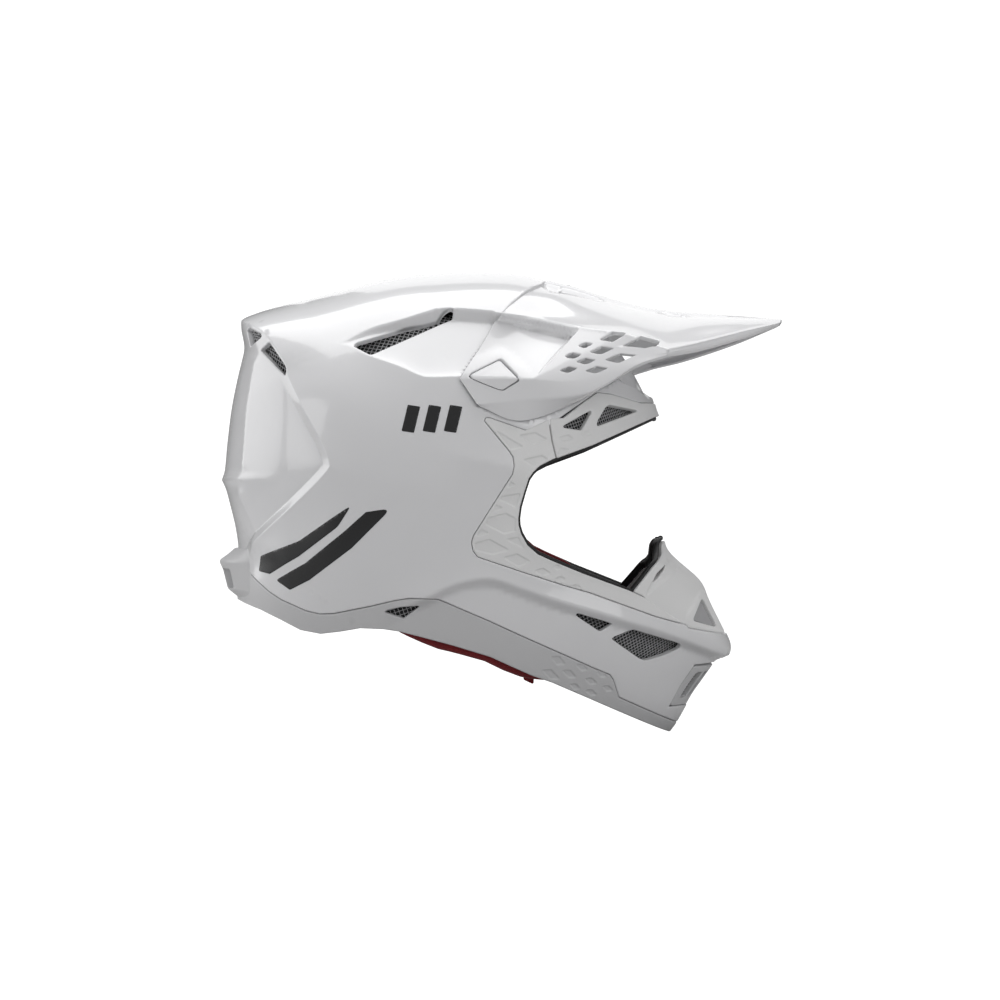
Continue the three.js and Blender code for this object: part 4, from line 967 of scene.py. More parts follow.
# ---------------------------------------------------------------- peak
# Six rows from the mid line to the lower edge, each with (x, y, z) at eight stations back to front.
PEAK_ROWS = floats(tables("""
    32.5,0,308.3 50.2,0,304.2 69.9,0,297.8 94.4,0,291.2
    113.4,0,288.2 135.2,0,286.3 165.8,0,284.4 190.9,0,281.9 /
    30.5,17,306.9 50.2,17,302 69.9,17,295.6 94.4,17,289.2
    113.4,17,286 135.2,15,284.4 165.8,12,282.4 190.4,4,281.2 /
    -0.5,85.2,279.9 24.1,74,276.9 52.1,83,270.9 80.5,90,266.2
    108.2,96,255.9 130.5,72,261.6 162.3,43,271.1 189.4,9,279 /
    -26.9,116.7,237.2 -0.9,115.6,237.3 26,112.2,237.6 76,100,249.5
    108.1,97,254.5 130.5,72.5,259.6 162.3,43.5,269.1 189.1,9,278 /
    -15.3,118.8,220.1 12,115.2,222.8 55.9,109,227.5 87.8,102,246.2
    108.1,97,253.2 130.5,72.5,258 162.3,43.5,267.7 188.7,9,277.3 /
    -14.3,116.9,218.9 12.7,113.7,209.7 47.8,98.5,221.7 88.5,100,244.7
    108.2,96,251.6 130.5,71.5,256.4 162.4,42.5,266.4 188.4,8.5,276.7"""))
STATION_STEP, ROW_STEP = 24.0, 24.0         # flat distance between stations and between rows
CORNERS = [0.85, 0.30, 0.045, 0.055, 0.08]  # half width of each rounded corner, in rows
# foot and head of the side scoop's front wall, (x, z)
WALL_FOOT = floats([[42.0, 268.0], [23.4, 240.5]])
WALL_HEAD = floats([[53.0, 272.6], [27.6, 244.0]])


def along_rows(rows, t):
    """Every row read at the stations t, tight round station 4 from the third row on."""
    t = np.clip(t, -0.5, 7.5)
    i = np.clip(np.floor(t).astype(int), 0, 6)
    f = (t - i)[None, :, None]
    p1, p2 = rows[:, i], rows[:, i + 1]
    p0 = np.where((i > 0)[None, :, None], rows[:, np.maximum(i - 1, 0)], 2 * p1 - p2)
    p3 = np.where((i < 6)[None, :, None], rows[:, np.minimum(i + 2, 7)], 2 * p2 - p1)
    chord = p2 - p1
    length = np.linalg.norm(chord, axis=2, keepdims=True)
    outer_rows = (np.arange(len(rows)) >= 2)[:, None, None]

    def tangent(full, station):
        tight = (i == station)[None, :, None] & outer_rows
        full = np.where(tight, 0.9 * chord + 0.1 * full, full)
        # limited, so that straight runs don't overshoot
        size = np.linalg.norm(full, axis=2, keepdims=True)
        return full * np.minimum(1, 1.15 * length / np.maximum(size, 1e-9))

    m1, m2 = tangent((p2 - p0) * 0.5, 4), tangent((p3 - p1) * 0.5, 3)
    f2, f3 = f * f, f * f * f
    return p1 * (2*f3 - 3*f2 + 1) + m1 * (f3 - 2*f2 + f) + p2 * (3*f2 - 2*f3) + m2 * (f3 - f2)


def soft_ramp(x, w):
    """0 below, x above, rounded within w of the corner."""
    return np.where(x < -w, 0, np.where(x > w, x, (x + w) ** 2 / (4 * w)))


class PeakSurface:
    def stations(self, flat):
        return -flat[:, 0] / STATION_STEP, flat[:, 1] / ROW_STEP

    def at(self, t, s):
        """Point at station t and row s; negative rows are on the right."""
        sign = np.where(s < 0, -1.0, 1.0)
        s = np.abs(s)
        rows = along_rows(PEAK_ROWS, t)
        previous = rows[0] - rows[1] * [1, -1, 1]
        points = rows[0] + previous * s[:, None]
        for i, corner in enumerate(CORNERS):
            if i == 3:      # wider towards the front
                corner = corner + 0.6 * ease(1.75, 2.5, t) * ease(4.0, 3.4, t)
            span = rows[i + 1] - rows[i]
            points = points + (span - previous) * soft_ramp(s - i, corner)[:, None]
            previous = span
        u = np.clip(s - 1, 0, 1)
        bulge = 16 * (u * (1 - u)) ** 2 * 3.2 * ease(7.0, 5.0, t)
        points = points + np.stack([0 * s, bulge * 0.35, bulge * 0.94], 1)
        points[:, 1] *= sign
        return points

    def point(self, flat):
        return self.at(*self.stations(flat))

    def from_mid(self, flat):
        return flat[:, 1]

    def mid_line(self, step):
        x = np.arange(-7.3 * STATION_STEP, 0.3 * STATION_STEP, step)
        return np.stack([x, np.zeros_like(x)], 1), False


PEAK = PeakSurface()
_t, _s = (grid.ravel() for grid in np.meshgrid(np.linspace(-0.2, 7.2, 371),
                                               np.linspace(0, 5, 501), indexing="ij"))
_peak_grid = PEAK.at(_t, _s)
SIDE_VIEW, PLAN_VIEW = [0, 2], [0, 1]


def peak_find(points, axes, row_min, row_max):
    """Side- or plan-view points to the peak's flat coordinates, within a range of rows."""
    kept = (_s >= row_min) & (_s <= row_max)
    grid, t, s = _peak_grid[kept][:, axes], _t[kept], _s[kept]
    out = []
    for target in floats(points):
        i = ((grid - target) ** 2).sum(1).argmin()
        start = np.array([-t[i] * STATION_STEP, s[i] * ROW_STEP])
        flat = start
        for _ in range(5):      # Newton steps from the nearest grid point
            h = 0.05
            here, ahead, above = PEAK.point(np.stack([flat, flat + [h, 0], flat + [0, h]]))[:, axes]
            jacobian = np.stack([(ahead - here) / h, (above - here) / h], 1)
            try:
                move = np.linalg.solve(jacobian, target - here)
            except np.linalg.LinAlgError:   # the surface may be edge-on in this view
                break
            if np.linalg.norm(move) > 6:
                break
            flat = flat + move
        in_range = row_min - 0.3 <= flat[1] / ROW_STEP <= row_max + 0.3
        out.append(flat if in_range else start)
    return floats(out)


CAP_POLY = Poly(CAP)
SCOOP_TOP = Poly(peak_find(table("24,26 31,40 62,30 72,24 66,20 30,20"), PLAN_VIEW, 0, 2))
TOP_RECESS = Poly(peak_find(table("101,20 112,27 128,24 120,18"), PLAN_VIEW, 0, 2))


def behind_line(line, x, z):
    """Signed distance, positive towards the rear."""
    (ax, az), (bx, bz) = line
    return ((ax - bx) * (z - bz) - (az - bz) * (x - bx)) / math.hypot(ax - bx, az - bz)


def peak_relief(x, z, flat):
    t, s = PEAK.stations(flat)
    s = np.abs(s)
    d = np.zeros_like(x)
    # scoop on the side panel: a floor under the panel line, closed in front by a slanted wall
    k = (s > 1.8) & (s < 3.1) & (t < 3.6)
    kx, kz, ks = x[k], z[k], s[k]
    foot, head = behind_line(WALL_FOOT, kx, kz), behind_line(WALL_HEAD, kx, kz)
    wall = np.clip(head / np.maximum(head - foot, 0.5), 0, 1)
    depth = (6.0 + 2.8 * ease(-5, 40, kx)) * (1 - np.clip(ks - 2, 0, 1)) * ease(1.985, 2.05, ks)
    d[k] -= depth * np.where(foot > 0, 1, wall) * ease(0.8, 12.0, -CAP_POLY(kx, kz))
    # upper lip of the scoop
    lip = 0.9 * np.exp(-np.abs(2 - s) * 30 / 6) * np.where(s <= 2, 1, np.exp(-(s - 2) * 60))
    d += lip * ease(6.8, 5.0, t)
    # hollows in the top
    flat_y = np.abs(flat[:, 1])
    d = d - 3.2 * ease(-0.5, 4.0, SCOOP_TOP(flat[:, 0], flat_y))
    return d - 1.6 * ease(-0.3, 1.2, TOP_RECESS(flat[:, 0], flat_y))


def make_peak():
    tip_slot = peak_find(table("150,10.5 154,13.5 176,8.4 174,6.4"), PLAN_VIEW, 0, 2)
    scoop_hole = peak_find(table("40,25 43,33 60,28 65,24"), PLAN_VIEW, 0, 2)
    rear, front = peak_find(table("42,7.2 56.5,7.2"), PLAN_VIEW, 0, 1.2)
    screw_slot = [rear, [rear[0], -8], [front[0], -8], front]
    cap = peak_find(rounded(CAP, 2.4), SIDE_VIEW, 2.2, 4.2)
    perforations = [rounded(peak_find(p, SIDE_VIEW, 2.0, 4.0), 0.8, seg=2) for p in PERFORATIONS]
    length = 7 * STATION_STEP
    region = [[-length, -30], [0, -30], [0, 5 * ROW_STEP], [-length, 5 * ROW_STEP]]
    rows = []
    for line in (WALL_FOOT, WALL_HEAD):
        found = peak_find(densify(line, 2.0, False), SIDE_VIEW, 2.0, 3.0)
        rows += [densify(shift_line(found, gap), 1.6, False) for gap in (-0.6, 0.6)]
    x = -np.arange(1, length - 1, 1.9)
    for corner in (2, 3, 4):
        width = CORNERS[corner]
        rows += [np.stack([x, np.full(len(x), (corner + k * width) * ROW_STEP)], 1)
                 for k in (-1.6, -0.6, 0.4, 1.4)]
    patch("peak_skin", PEAK, region,
          [offset(cap, 0.45), scoop_hole, tip_slot, screw_slot, *perforations], peak_relief,
          thick=2.6, spacing=2.1, edge=0.75, is_flat=True, extra=np.concatenate(rows),
          body="peak", replaces="peak")
    for side, sign in SIDES:
        patch("peak_cap_skin_" + side, PEAK, offset(cap, -0.1), [], peak_relief, thick=2.2,
              spacing=1.7, edge=0.6, side=sign, is_flat=True, lift=0.25, body="peak",
              replaces="peak_side_cap_" + side)


# edge of the peak on the shell: the shell steps in below it
_rear = PEAK.at(np.zeros(60), np.linspace(0, 5, 60))
_lower = PEAK.at(np.linspace(0, 2.7, 50), np.full(50, 5.0))
PEAK_EDGE = [[p[0], p[2]] for p in (*_rear, *_lower[1:])]
PEAK_FOOT = Poly([[46, 330]] + PEAK_EDGE + [[100, 228], [140, 228], [140, 330]])


def gloss_relief(x, z, _flat=None):
    d = shell_relief(x, z)
    k = (x > -34) & (z > 204)
    under = ease(0.2, 1.6, PEAK_FOOT(x[k], z[k]))
    d[k] = d[k] * (1 - under) + (np.minimum(d[k], 0) * 0.9 - 4.2) * under
    return d


# ---------------------------------------------------------------- shell pieces
SEAM_GAP = 0.35
MOUTH_Z = (20.0, 47.5)


def lowered(line, drop):
    return [[x, z - drop] for x, z in line]


def front_x(y, z):
    """Where the front of the surface is y off the mid plane, at height z."""
    xs = np.linspace(60.0, 172.0, 1200)
    k = np.where(half_width(xs, np.full_like(xs, z)) > y)[0]
    return float(xs[k[-1]]) if len(k) else 60.0


def depression(outlines, depth, slope):
    """Relief sunk inside the outlines, with edges sloped over a width."""
    polys = [Poly(rounded(outline, 0.7, seg=2)) for outline in outlines]

    def relief(x, z):
        d = np.zeros_like(x)
        for poly in polys:
            k = box_mask(poly.points, 3, x, z)
            sunk = -depth * ease(-slope / 2, slope / 2, poly(x[k], z[k]))
            d[k] = np.minimum(d[k], sunk)
        return d
    return relief


def loops_beside(outlines, gaps, step, radius):
    """Flat loops beside outlines, so that their slopes are crisp."""
    return [SHELL.flatten(densify(offset(rounded(ccw(p), radius, seg=2), gap), step))
            for p in outlines for gap in gaps]


def crease_loops(outlines):
    return loops_beside(outlines, (-0.78, -0.34, 0.34, 0.78), step=1.5, radius=0.7)


def rows_beside(*lines, step=1.6):
    """Flat points beside relief lines; each entry is a line and its gaps."""
    return np.concatenate([SHELL.flatten(densify(shift_line(line.points, gap), step, False))
                           for line, gaps in lines for gap in gaps])


def settle(outline):
    """Outline points moved so that the displaced surface has them where they should be."""
    target = densify(floats(outline), 1.6)
    moved = target.copy()
    for _ in range(7):
        points = displaced(SHELL, SHELL.flatten(moved), gloss_relief, 0.0)
        moved = moved - 0.8 * (points[:, [0, 2]] - target)
    for _ in range(2):
        moved = 0.25 * np.roll(moved, 1, 0) + 0.5 * moved + 0.25 * np.roll(moved, -1, 0)
    return moved


_port_line = Line(PORT)


def satin_relief(share, emboss, lift=0.0, lip=0.0):
    """A share of the shell's relief with an emboss, a lift and a lip round the eye port."""
    def relief(x, z, _flat):
        bead = 0.8 * np.exp(-np.abs(_port_line(x, z)[0]) / 2.2)
        return shell_relief(x, z) * share + emboss(x, z) + lift + bead * lip
    return relief


def make_shell():
    region = ([[-240, 129]] + SEAM + table("135,-4 240,-4 240,55 148.5,68.5 123,74.1")
              + TRIM[::-1] + FRAME_TOP + table("240,224.5 240,400 -240,400"))
    vents = [settle(rounded(vent, radius)) for vent, radius in (
        (CROWN_VENT, 1.6), (REAR_VENT_A, 0.9), (REAR_VENT_B, 0.9), (CHIN_VENT_A, 1.0),
        (CHIN_VENT_B, 2.2))]
    mouth = [[front_x(31, z), z] for z in np.linspace(*MOUTH_Z, 14)]
    mouth += [[240, MOUTH_Z[1]], [240, MOUTH_Z[0]]]
    screw_hole = [[PIVOT_X + 2.8 * math.cos(t), PIVOT_Z + 2.8 * math.sin(t)]
                  for t in np.linspace(0, 2 * math.pi, 16, endpoint=False)]
    rows = rows_beside((SCALLOP_TOP, (-2.6, -1.7, -0.9, 0, 0.9)),
                       (SCALLOP_LOW, (-1.6, -0.7, 0, 0.9, 2.0)),
                       (REAR_RIDGE, (-6.2, -5.3, -4.2, -2, -0.4, 0.5)),
                       (FLARE, (-3, -1.5, 0, 1.2)), (SPOILER, (-1.5, 0, 1.5)))
    foot_rows = rows_beside((Line(PEAK_EDGE[:-1]), (0.15, 0.6, 1.1, 1.6)), step=1.1)
    patch("shell_skin", SHELL, rounded(region, 1.5), vents + [mouth, screw_hole], gloss_relief,
          thick=3.5, spacing=2.4, edge=0.8, extra=np.concatenate([rows, foot_rows]),
          replaces="outer_shell")


def make_base_band():
    region = ([[-240, 128.6]] + lowered(SEAM, SEAM_GAP) + table("135,1 135,-5.46 118,-0.36")
              + RIM[::-1] + [[-240, 92]])
    patch("base_band", SHELL, rounded(region, 1.2), [rounded(BASE_VENT, 1.0)],
          satin_relief(0.85, depression(BASE_DIAMONDS, depth=0.8, slope=0.75)), thick=3.6,
          spacing=2.2, edge=0.8, creases=crease_loops(BASE_DIAMONDS), material="trim_base",
          replaces="base_trim")


def make_brow_frame():
    region = (lowered(FRAME_TOP, SEAM_GAP) + table("240,224 240,215.6") + PORT[:3]
              + [[x + SEAM_GAP, z] for x, z in FRAME_SIDE[::-1]] + [[40.2, 212.0]])
    emboss = depression(FRAME_DIAMONDS, depth=0.7, slope=0.75)
    patch("brow_frame", SHELL, rounded(region, 1.0),
          [rounded(BROW_VENT_A, 1.2), rounded(BROW_VENT_B, 1.2)],
          satin_relief(0.7, emboss, lift=0.6, lip=1.0), thick=4.2, spacing=2.0, edge=0.7,
          creases=crease_loops(FRAME_DIAMONDS), material="trim", replaces="brow_vent_frame")


def make_port_trim():
    region = TRIM[2:] + [[93.2, 95.1], [86.3, 98.3]] + PORT[3:17][::-1] + FRAME_SIDE[::-1]
    relief = satin_relief(0.75, depression(DIAMONDS, depth=0.85, slope=0.75), lift=0.5, lip=0.8)
    for side, sign in SIDES:
        patch("eyeport_trim_skin_" + side, SHELL, offset(rounded(region, 0.9), -0.25), [], relief,
              thick=4.0, spacing=1.9, edge=0.6, side=sign, creases=crease_loops(DIAMONDS),
              material="trim", replaces="eyeport_trim_" + side)


def make_graphics():
    """Three short slanted bars, and two long strokes low at the back of each side."""
    bars = [[[x, 203.0], [x + 8, 201.8], [x + 12, 218.6], [x + 4, 219.8]]
            for x in (-64.0, -50.5, -37.0)]
    shapes = [("bar_%d_" % (i + 1), rounded(bar, 0.8)) for i, bar in enumerate(bars)]
    shapes += [("stripe_%d_" % (i + 1), rounded(stripe, [1.5, 14, 14, 1, 14, 14, 1, 1], seg=6))
               for i, stripe in enumerate(GRAPHICS)]
    for name, outline in shapes:
        for side, sign in SIDES:
            patch(name + side, SHELL, outline, [], gloss_relief, thick=0.22, spacing=3.0,
                  edge=0.1, side=sign, lift=0.16, material="graphic")


def make_nose_guard():
    emboss = depression([SLIT], depth=1.2, slope=1.6)
    insert_rim = Poly(rounded(INSERT_RIM, 2.0))

    def relief(x, z, _flat):
        return emboss(x, z) + 1.0 * ease(-2.2, 0.4, insert_rim(x, z)) + 0.4

    insert = rounded(INSERT, 1.6)
    rows = loops_beside([SLIT, INSERT_RIM], (-1.2, -0.4, 0.4, 1.2), step=1.3, radius=0.9)
    patch("nose_guard_skin", SHELL, rounded(GUARD, 1.5), [insert, rounded(SLIT_HOLE, 0.8)],
          relief, thick=4.2, spacing=1.9, edge=0.8, extra=np.concatenate(rows),
          material="guard", replaces="nose_guard")
    for side, sign in SIDES:
        patch("guard_insert_skin_" + side, SHELL, offset(insert, -0.3), thick=2.4, spacing=1.6,
              edge=0.8, side=sign, lift=-0.3, material="insert",
              replaces="nose_guard_insert_" + side)


make_shell()
make_base_band()
make_brow_frame()
make_port_trim()
make_graphics()
make_nose_guard()
make_peak()

# ---------------------------------------------------------------- wire screens and the painted shade behind them
CHIN_SCREEN = table("""46,83.6 49,87.2 76,79 88,75.8 121,65.2 122,60.5 110,54.2 97,50.8 90,52.2
    70,66.4 63,71""")
BROW_SCREEN = table("""37.5,205.4 58,218 68.5,221.8 71,222.4 90.5,219.6 91,216 62,205.2
    52,203""")


def make_screen(name, outline, grow, angle, replaces, pitch, level=-4.4, radius=0.28):
    """Two crossing families of waved wires, level off the surface, and a dark skin under them as
    painted shade of the hollow behind the vent.
    """
    outline = offset(rounded(outline, 1.0), grow)
    region = densify(SHELL.flatten(densify(outline, 1.0)), 1.2)
    centre = region.mean(0)
    span = np.linalg.norm(region - centre, axis=1).max() + 2
    u = np.arange(-span, span, 0.8)
    wires = []
    for family, degrees in enumerate((angle, angle + 90)):
        along = np.array([math.cos(math.radians(degrees)), math.sin(math.radians(degrees))])
        across = np.array([-along[1], along[0]])
        for k, shift in enumerate(np.arange(-span, span, pitch)):
            line = centre + across * shift + np.outer(u, along)
            i = np.where(within(line, region) & (SHELL.from_mid(line) > 1.2))[0]
            for run in np.split(i, np.where(np.diff(i) > 1)[0] + 1):
                if len(run) < 3:
                    continue
                wave = 0.16 * np.sin(u[run] / pitch * math.pi + (k + family) * math.pi)
                height = (level + wave)[:, None]
                flat = line[run]
                wires.append(SHELL.point(flat) + surface_normals(SHELL, flat) * height)
    for side, sign in SIDES:
        tube_mesh("%s_wires_%s" % (name, side), [wire * [1, sign, 1] for wire in wires], radius,
                  4, "wire", replaces=replaces + "_" + side)
        # the dark skin under the wires is painted shade of the vent's hollow
        patch("%s_back_%s" % (name, side), SHELL, outline, thick=0.6, spacing=3.2, edge=0.2,
              side=sign, lift=level - 0.55, material="dark")


make_screen("crown_screen", CROWN_VENT, grow=6.5, angle=75, pitch=2.0, level=-8.6,
            replaces="crown_vent_screen")
make_screen("rear_screen_upper", REAR_VENT_A, grow=2.0, angle=70, pitch=2.0, level=-3.2,
            replaces="rear_vent_screen_upper")
make_screen("rear_screen_lower", REAR_VENT_B, grow=2.2, angle=60, pitch=2.0,
            replaces="rear_vent_screen_lower")
make_screen("chin_screen", CHIN_SCREEN, grow=1.5, angle=20, pitch=1.7, level=-7.4, radius=0.26,
            replaces="chin_vent_screen")
make_screen("brow_screen", BROW_SCREEN, grow=0, angle=20, pitch=1.5, level=-4.9, radius=0.22,
            replaces="brow_vent_screen")
make_screen("base_screen", BASE_VENT, grow=1.6, angle=20, pitch=1.8, radius=0.24,
            replaces="base_vent_screen")

# ---------------------------------------------------------------- eye port seal and knit edges
PORT_PATH = [[240, 215.6]] + PORT + table("""86.9,98.3 96,109.5 104,119.5 106,123.5 107.6,129.5
    110,131.8 240,133""")
FLANGE_SECTION = table("1.2,-3.6 0.9,-6.2 0.2,-6.6 -3.4,-6.6 -3.6,-4.5 0.4,-4.4")


def ellipse(across, out, radius_across, radius_out, n):
    angles = [2 * math.pi * i / n for i in range(n)]
    return [[across + radius_across * math.cos(w), out + radius_out * math.sin(w)]
            for w in angles]


def flat_path(path, radius, step):
    path = densify(rounded(path, radius, closed=False), 1.2, False)
    return densify(SHELL.flatten(path), step, False)


def path_frame(flat):
    """Points along a path, with the directions to its left and off the surface."""
    tan1, tan2 = surface_tangents(SHELL, flat)
    out = surface_normals(SHELL, flat)
    points = SHELL.point(flat)
    across = unit(np.cross(out, unit(np.gradient(points, axis=0))))
    left = turn_left(np.gradient(flat, axis=0))
    left = tan1 * left[:, :1] + tan2 * left[:, 1:]
    return points, across * np.sign((across * left).sum(1))[:, None], out


def section_rings(points, across, out, sections):
    """(a, b) sections, a to the left of the path and b outwards, placed along it."""
    return np.array([[p + u * a + n * b for a, b in section]
                     for p, u, n, section in zip(points, across, out, sections)])


def seal_sweep(name, section, replaces=None):
    """A section swept round the port's edge, both halves in one mesh."""
    flat = flat_path(PORT_PATH, 3.0, 1.6)
    i = np.where(SHELL.from_mid(flat) > -3.0)[0]
    points, across, out = path_frame(flat[i[0]:i[-1] + 1])
    for _ in range(3):
        across[1:-1] = unit(across[:-2] + 2 * across[1:-1] + across[2:])
    n, m = len(points), len(section)
    half = section_rings(points, across, out, [section] * n).reshape(-1, 3)
    left, right = half.copy(), half * [1, -1, 1]
    left[:, 1] = np.maximum(left[:, 1], 0.02)
    right[:, 1] = np.minimum(right[:, 1], -0.02)
    faces = []
    for first, sign in ((0, 1), (n * m, -1)):
        for j in range(n - 1):
            here, after = first + j * m, first + (j + 1) * m
            for a in range(m):
                b = (a + 1) % m
                faces.append((here + a, here + b, after + b, after + a)[::-sign])
        faces.append([first + a for a in range(m)][::sign])
        faces.append([first + (n - 1) * m + a for a in range(m)][::-sign])
    mesh_object(name, np.concatenate([left, right]), faces, "rubber", replaces=replaces)


def knit_sweep(name, path, section_at):
    """A section that changes with the share of the path's length, one piece per side."""
    points, across, out = path_frame(flat_path(path, 4.0, 1.5))
    share = arc_length(points)
    share /= share[-1]
    rings = section_rings(points, across, out, [section_at(t) for t in share])
    for side, sign in SIDES:
        grid_object(name + "_" + side, rings * [1, sign, 1], "red")


def end_taper(t):
    return math.sqrt(max(0.0, 1 - (1 - min(1.0, min(t, 1 - t) * 7)) ** 2)) * 0.9 + 0.1


def port_section(t):
    return ellipse(0.9, -8.9, 1.7 * end_taper(t), 2.2 * end_taper(t), 16)


# how far the knit shows below the rim: shares of its length, and heights
KNIT_SHARES = [0, 0.06, 0.14, 0.26, 0.4, 0.55, 0.7, 0.82, 0.91, 1.0]
KNIT_HEIGHTS = [0.3, 2.2, 4.4, 5.9, 5.3, 4.9, 5.3, 4.6, 2.6, 0.3]


def rim_section(t):
    height = float(np.interp(t, KNIT_SHARES, KNIT_HEIGHTS))
    return ellipse(-(height - 3.0) / 2, -7.6, (height + 3.0) / 2 + 0.6,
                   2.9 * (0.35 + 0.65 * end_taper(t)), 18)


seal_sweep("port_bead", ellipse(0.75, -2.8, 1.35, 1.7, 10), "eyeport_seal")
seal_sweep("port_flange", FLANGE_SECTION)

# ---------------------------------------------------------------- comfort and slip liners
HEAD_X, HEAD_Z = -40.3, 179.2                       # centre of the head form
HEAD_LONG, HEAD_WIDE, HEAD_HIGH = 97.0, 76.0, 87.0  # its radii
LINER = table("""-200,320 -200,121 -112,116 -78,118 -72,134 -33,136 -3,140 -3,160 6,176 20,187
    40,196.5 70,205 110,215 110,320""")


def head_point(u, v, gap):
    """u: angle round the head; v: 0 at the crown, 1 at the widest level, straight down past it."""
    ph = np.pi / 2 * (1 - np.minimum(v, 1))
    drop = np.maximum(v - 1, 0) * HEAD_HIGH
    return np.stack([HEAD_X + (HEAD_LONG + gap) * np.cos(ph) * np.cos(u),
                     (HEAD_WIDE + gap) * np.cos(ph) * np.sin(u),
                     HEAD_Z + (HEAD_HIGH + gap) * np.sin(ph) - drop], -1)


def head_rim(u, outline, gap):
    """How far down v reaches at each angle before leaving the outline, smoothed."""
    poly = Poly(rounded(outline, 9, seg=8))
    vs = np.linspace(0.2, 2.2, 161)
    out = np.full_like(u, 0.2)
    for k, angle in enumerate(u):
        p = head_point(np.full_like(vs, angle), vs, gap)
        outside = np.where(poly(p[:, 0], p[:, 2]) < 0)[0]
        out[k] = vs[outside[0] - 1] if len(outside) else vs[-1]
    waves = np.fft.rfft(out)
    return np.fft.irfft(waves * np.exp(-0.5 * (np.arange(len(waves)) / 16.0) ** 2), len(out))


def make_liner(name, inner, outer, grow, material, replaces, rows, puff=None, **parts):
    """A cap between two gaps off the head form, with a rounded rim."""
    u = np.linspace(0, 2 * np.pi, 168, endpoint=False)
    half, middle = (outer - inner) / 2, (inner + outer) / 2
    rim = head_rim(u, offset(LINER, grow), middle)
    # columns (v, side, reach): inner skin to the rim, round the rim, outer skin to the crown
    columns = [(v, -1.0, 0.0) for v in np.linspace(0.02, 1, rows)]
    columns += [(1.0, -math.cos(w), math.sin(w)) for w in np.linspace(0, np.pi, 9)[1:-1]]
    columns += [(v, 1.0, 0.0) for v in np.linspace(1, 0.02, rows // 2)]
    points = np.zeros((len(u), len(columns), 3))
    for j, (v, side, reach) in enumerate(columns):
        down = rim * v + reach * half / HEAD_HIGH / 1.3
        gap = middle + side * half
        if side < 0 and reach == 0 and puff:
            gap = gap - puff(u, down, rim)
        points[:, j] = head_point(u, down, gap)
    grid_object(name, points, material, "liner", replaces, wrap=(True, False), **parts)


def valley(x, width=2.2):
    return np.exp(-(x / width) ** 2)


def comfort_puff(u, v, rim):
    """Quilting: a centre strip, two side fields and a rim roll, with stitched valleys."""
    p = head_point(u, v, 4.0)
    x, y = p[..., 0], np.abs(p[..., 1])
    valleys = np.maximum.reduce([
        valley(y - 24), valley((rim - v) * HEAD_HIGH - 15), valley(x + 92) * (y > 22),
        valley(x + 30) * (y > 24) * (v < rim - 0.15)])
    ribs = 0.35 * (0.5 + 0.5 * np.cos(x / 9.0 * 2 * np.pi)) * (y < 21)
    return -2.6 * valleys - ribs + 0.9


def in_centre_strip(centre):
    return 1 if abs(centre[1]) < 24 or centre[2] < 0 else 0


make_liner("comfort_liner_padded", 0.6, 7.6, grow=3.0, material="red", replaces="comfort_liner",
           rows=64, puff=comfort_puff, second="knit", pick=in_centre_strip)
make_liner("slip_liner_film", 8.3, 9.1, grow=0.0, material="slip", replaces="slip_liner", rows=40)

knit_sweep("port_knit_edge", PORT[4:16], port_section)
knit_sweep("rim_knit_edge", [[-66.5, 72.6]] + RIM[9:14], rim_section)


# ---------------------------------------------------------------- soft pads and foam
def soft_pad(name, node, body, material, voxel, smooth, levels=1, puff=0.0, second=None,
             pick=None):
    """A frame piece remeshed soft; pick(centre, normal) gives 1 for the second material."""
    mesh = frame["nodes"][node].data.copy()
    mesh.name = name
    obj = link_object(name, mesh)
    obj.modifiers.new("weld", "WELD").merge_threshold = 2e-6
    remesh = obj.modifiers.new("remesh", "REMESH")
    remesh.mode = "VOXEL"
    remesh.voxel_size = voxel / 1000
    relax = obj.modifiers.new("relax", "SMOOTH")
    relax.factor = 0.5
    relax.iterations = smooth
    if puff:
        swell = obj.modifiers.new("swell", "DISPLACE")
        swell.strength = puff / 1000
        swell.mid_level = 0.0
    if levels:
        subdivide = obj.modifiers.new("subdivide", "SUBSURF")
        subdivide.levels = subdivide.render_levels = levels
    mesh = bake_modifiers(obj)
    mesh.name = name
    mesh.materials.clear()
    mesh.materials.append(MATERIALS[material])
    if second:
        mesh.materials.append(MATERIALS[second])
        for face in mesh.polygons:
            centre = np.array(face.center) * 1000 - SHIFT
            face.material_index = pick(centre, np.array(face.normal))
    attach(obj, body)
    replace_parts(obj, node)


def outer_or_low(sign):
    return lambda centre, normal: 1 if normal[1] * sign > 0.35 or centre[2] < 44 else 0


for side, sign in SIDES:
    soft_pad("cheek_pad_soft_" + side, "cheek_pad_" + side, "cheek_pad_" + side, "red", voxel=2.6,
             smooth=9, puff=0.5, second="knit", pick=outer_or_low(sign))
soft_pad("neck_roll_soft", "neck_roll", "helmet", "red", voxel=2.4, smooth=7, puff=0.3,
         second="knit", pick=lambda centre, normal: 0 if normal[2] < 0.25 else 1)
for node, voxel in (("cheek_foam_right", 2.2), ("cheek_foam_left", 2.2), ("chin_foam", 2.2),
                    ("foam_liner", 2.4)):
    soft_pad(node + "_moulded", node, "helmet", "eps", voxel=voxel, smooth=5, levels=0)

# where vents need more room behind the shell: zone and clearance
CLEARANCES = [(Poly(offset(rounded(CROWN_VENT, 1.0), 6.0)), 10.9),
              (Poly(offset(CHIN_SCREEN, 3.0)), 9.2),
              (Poly(offset(REAR_VENT_A, 4.0)), 6.2), (Poly(offset(REAR_VENT_B, 4.0)), 6.2)]


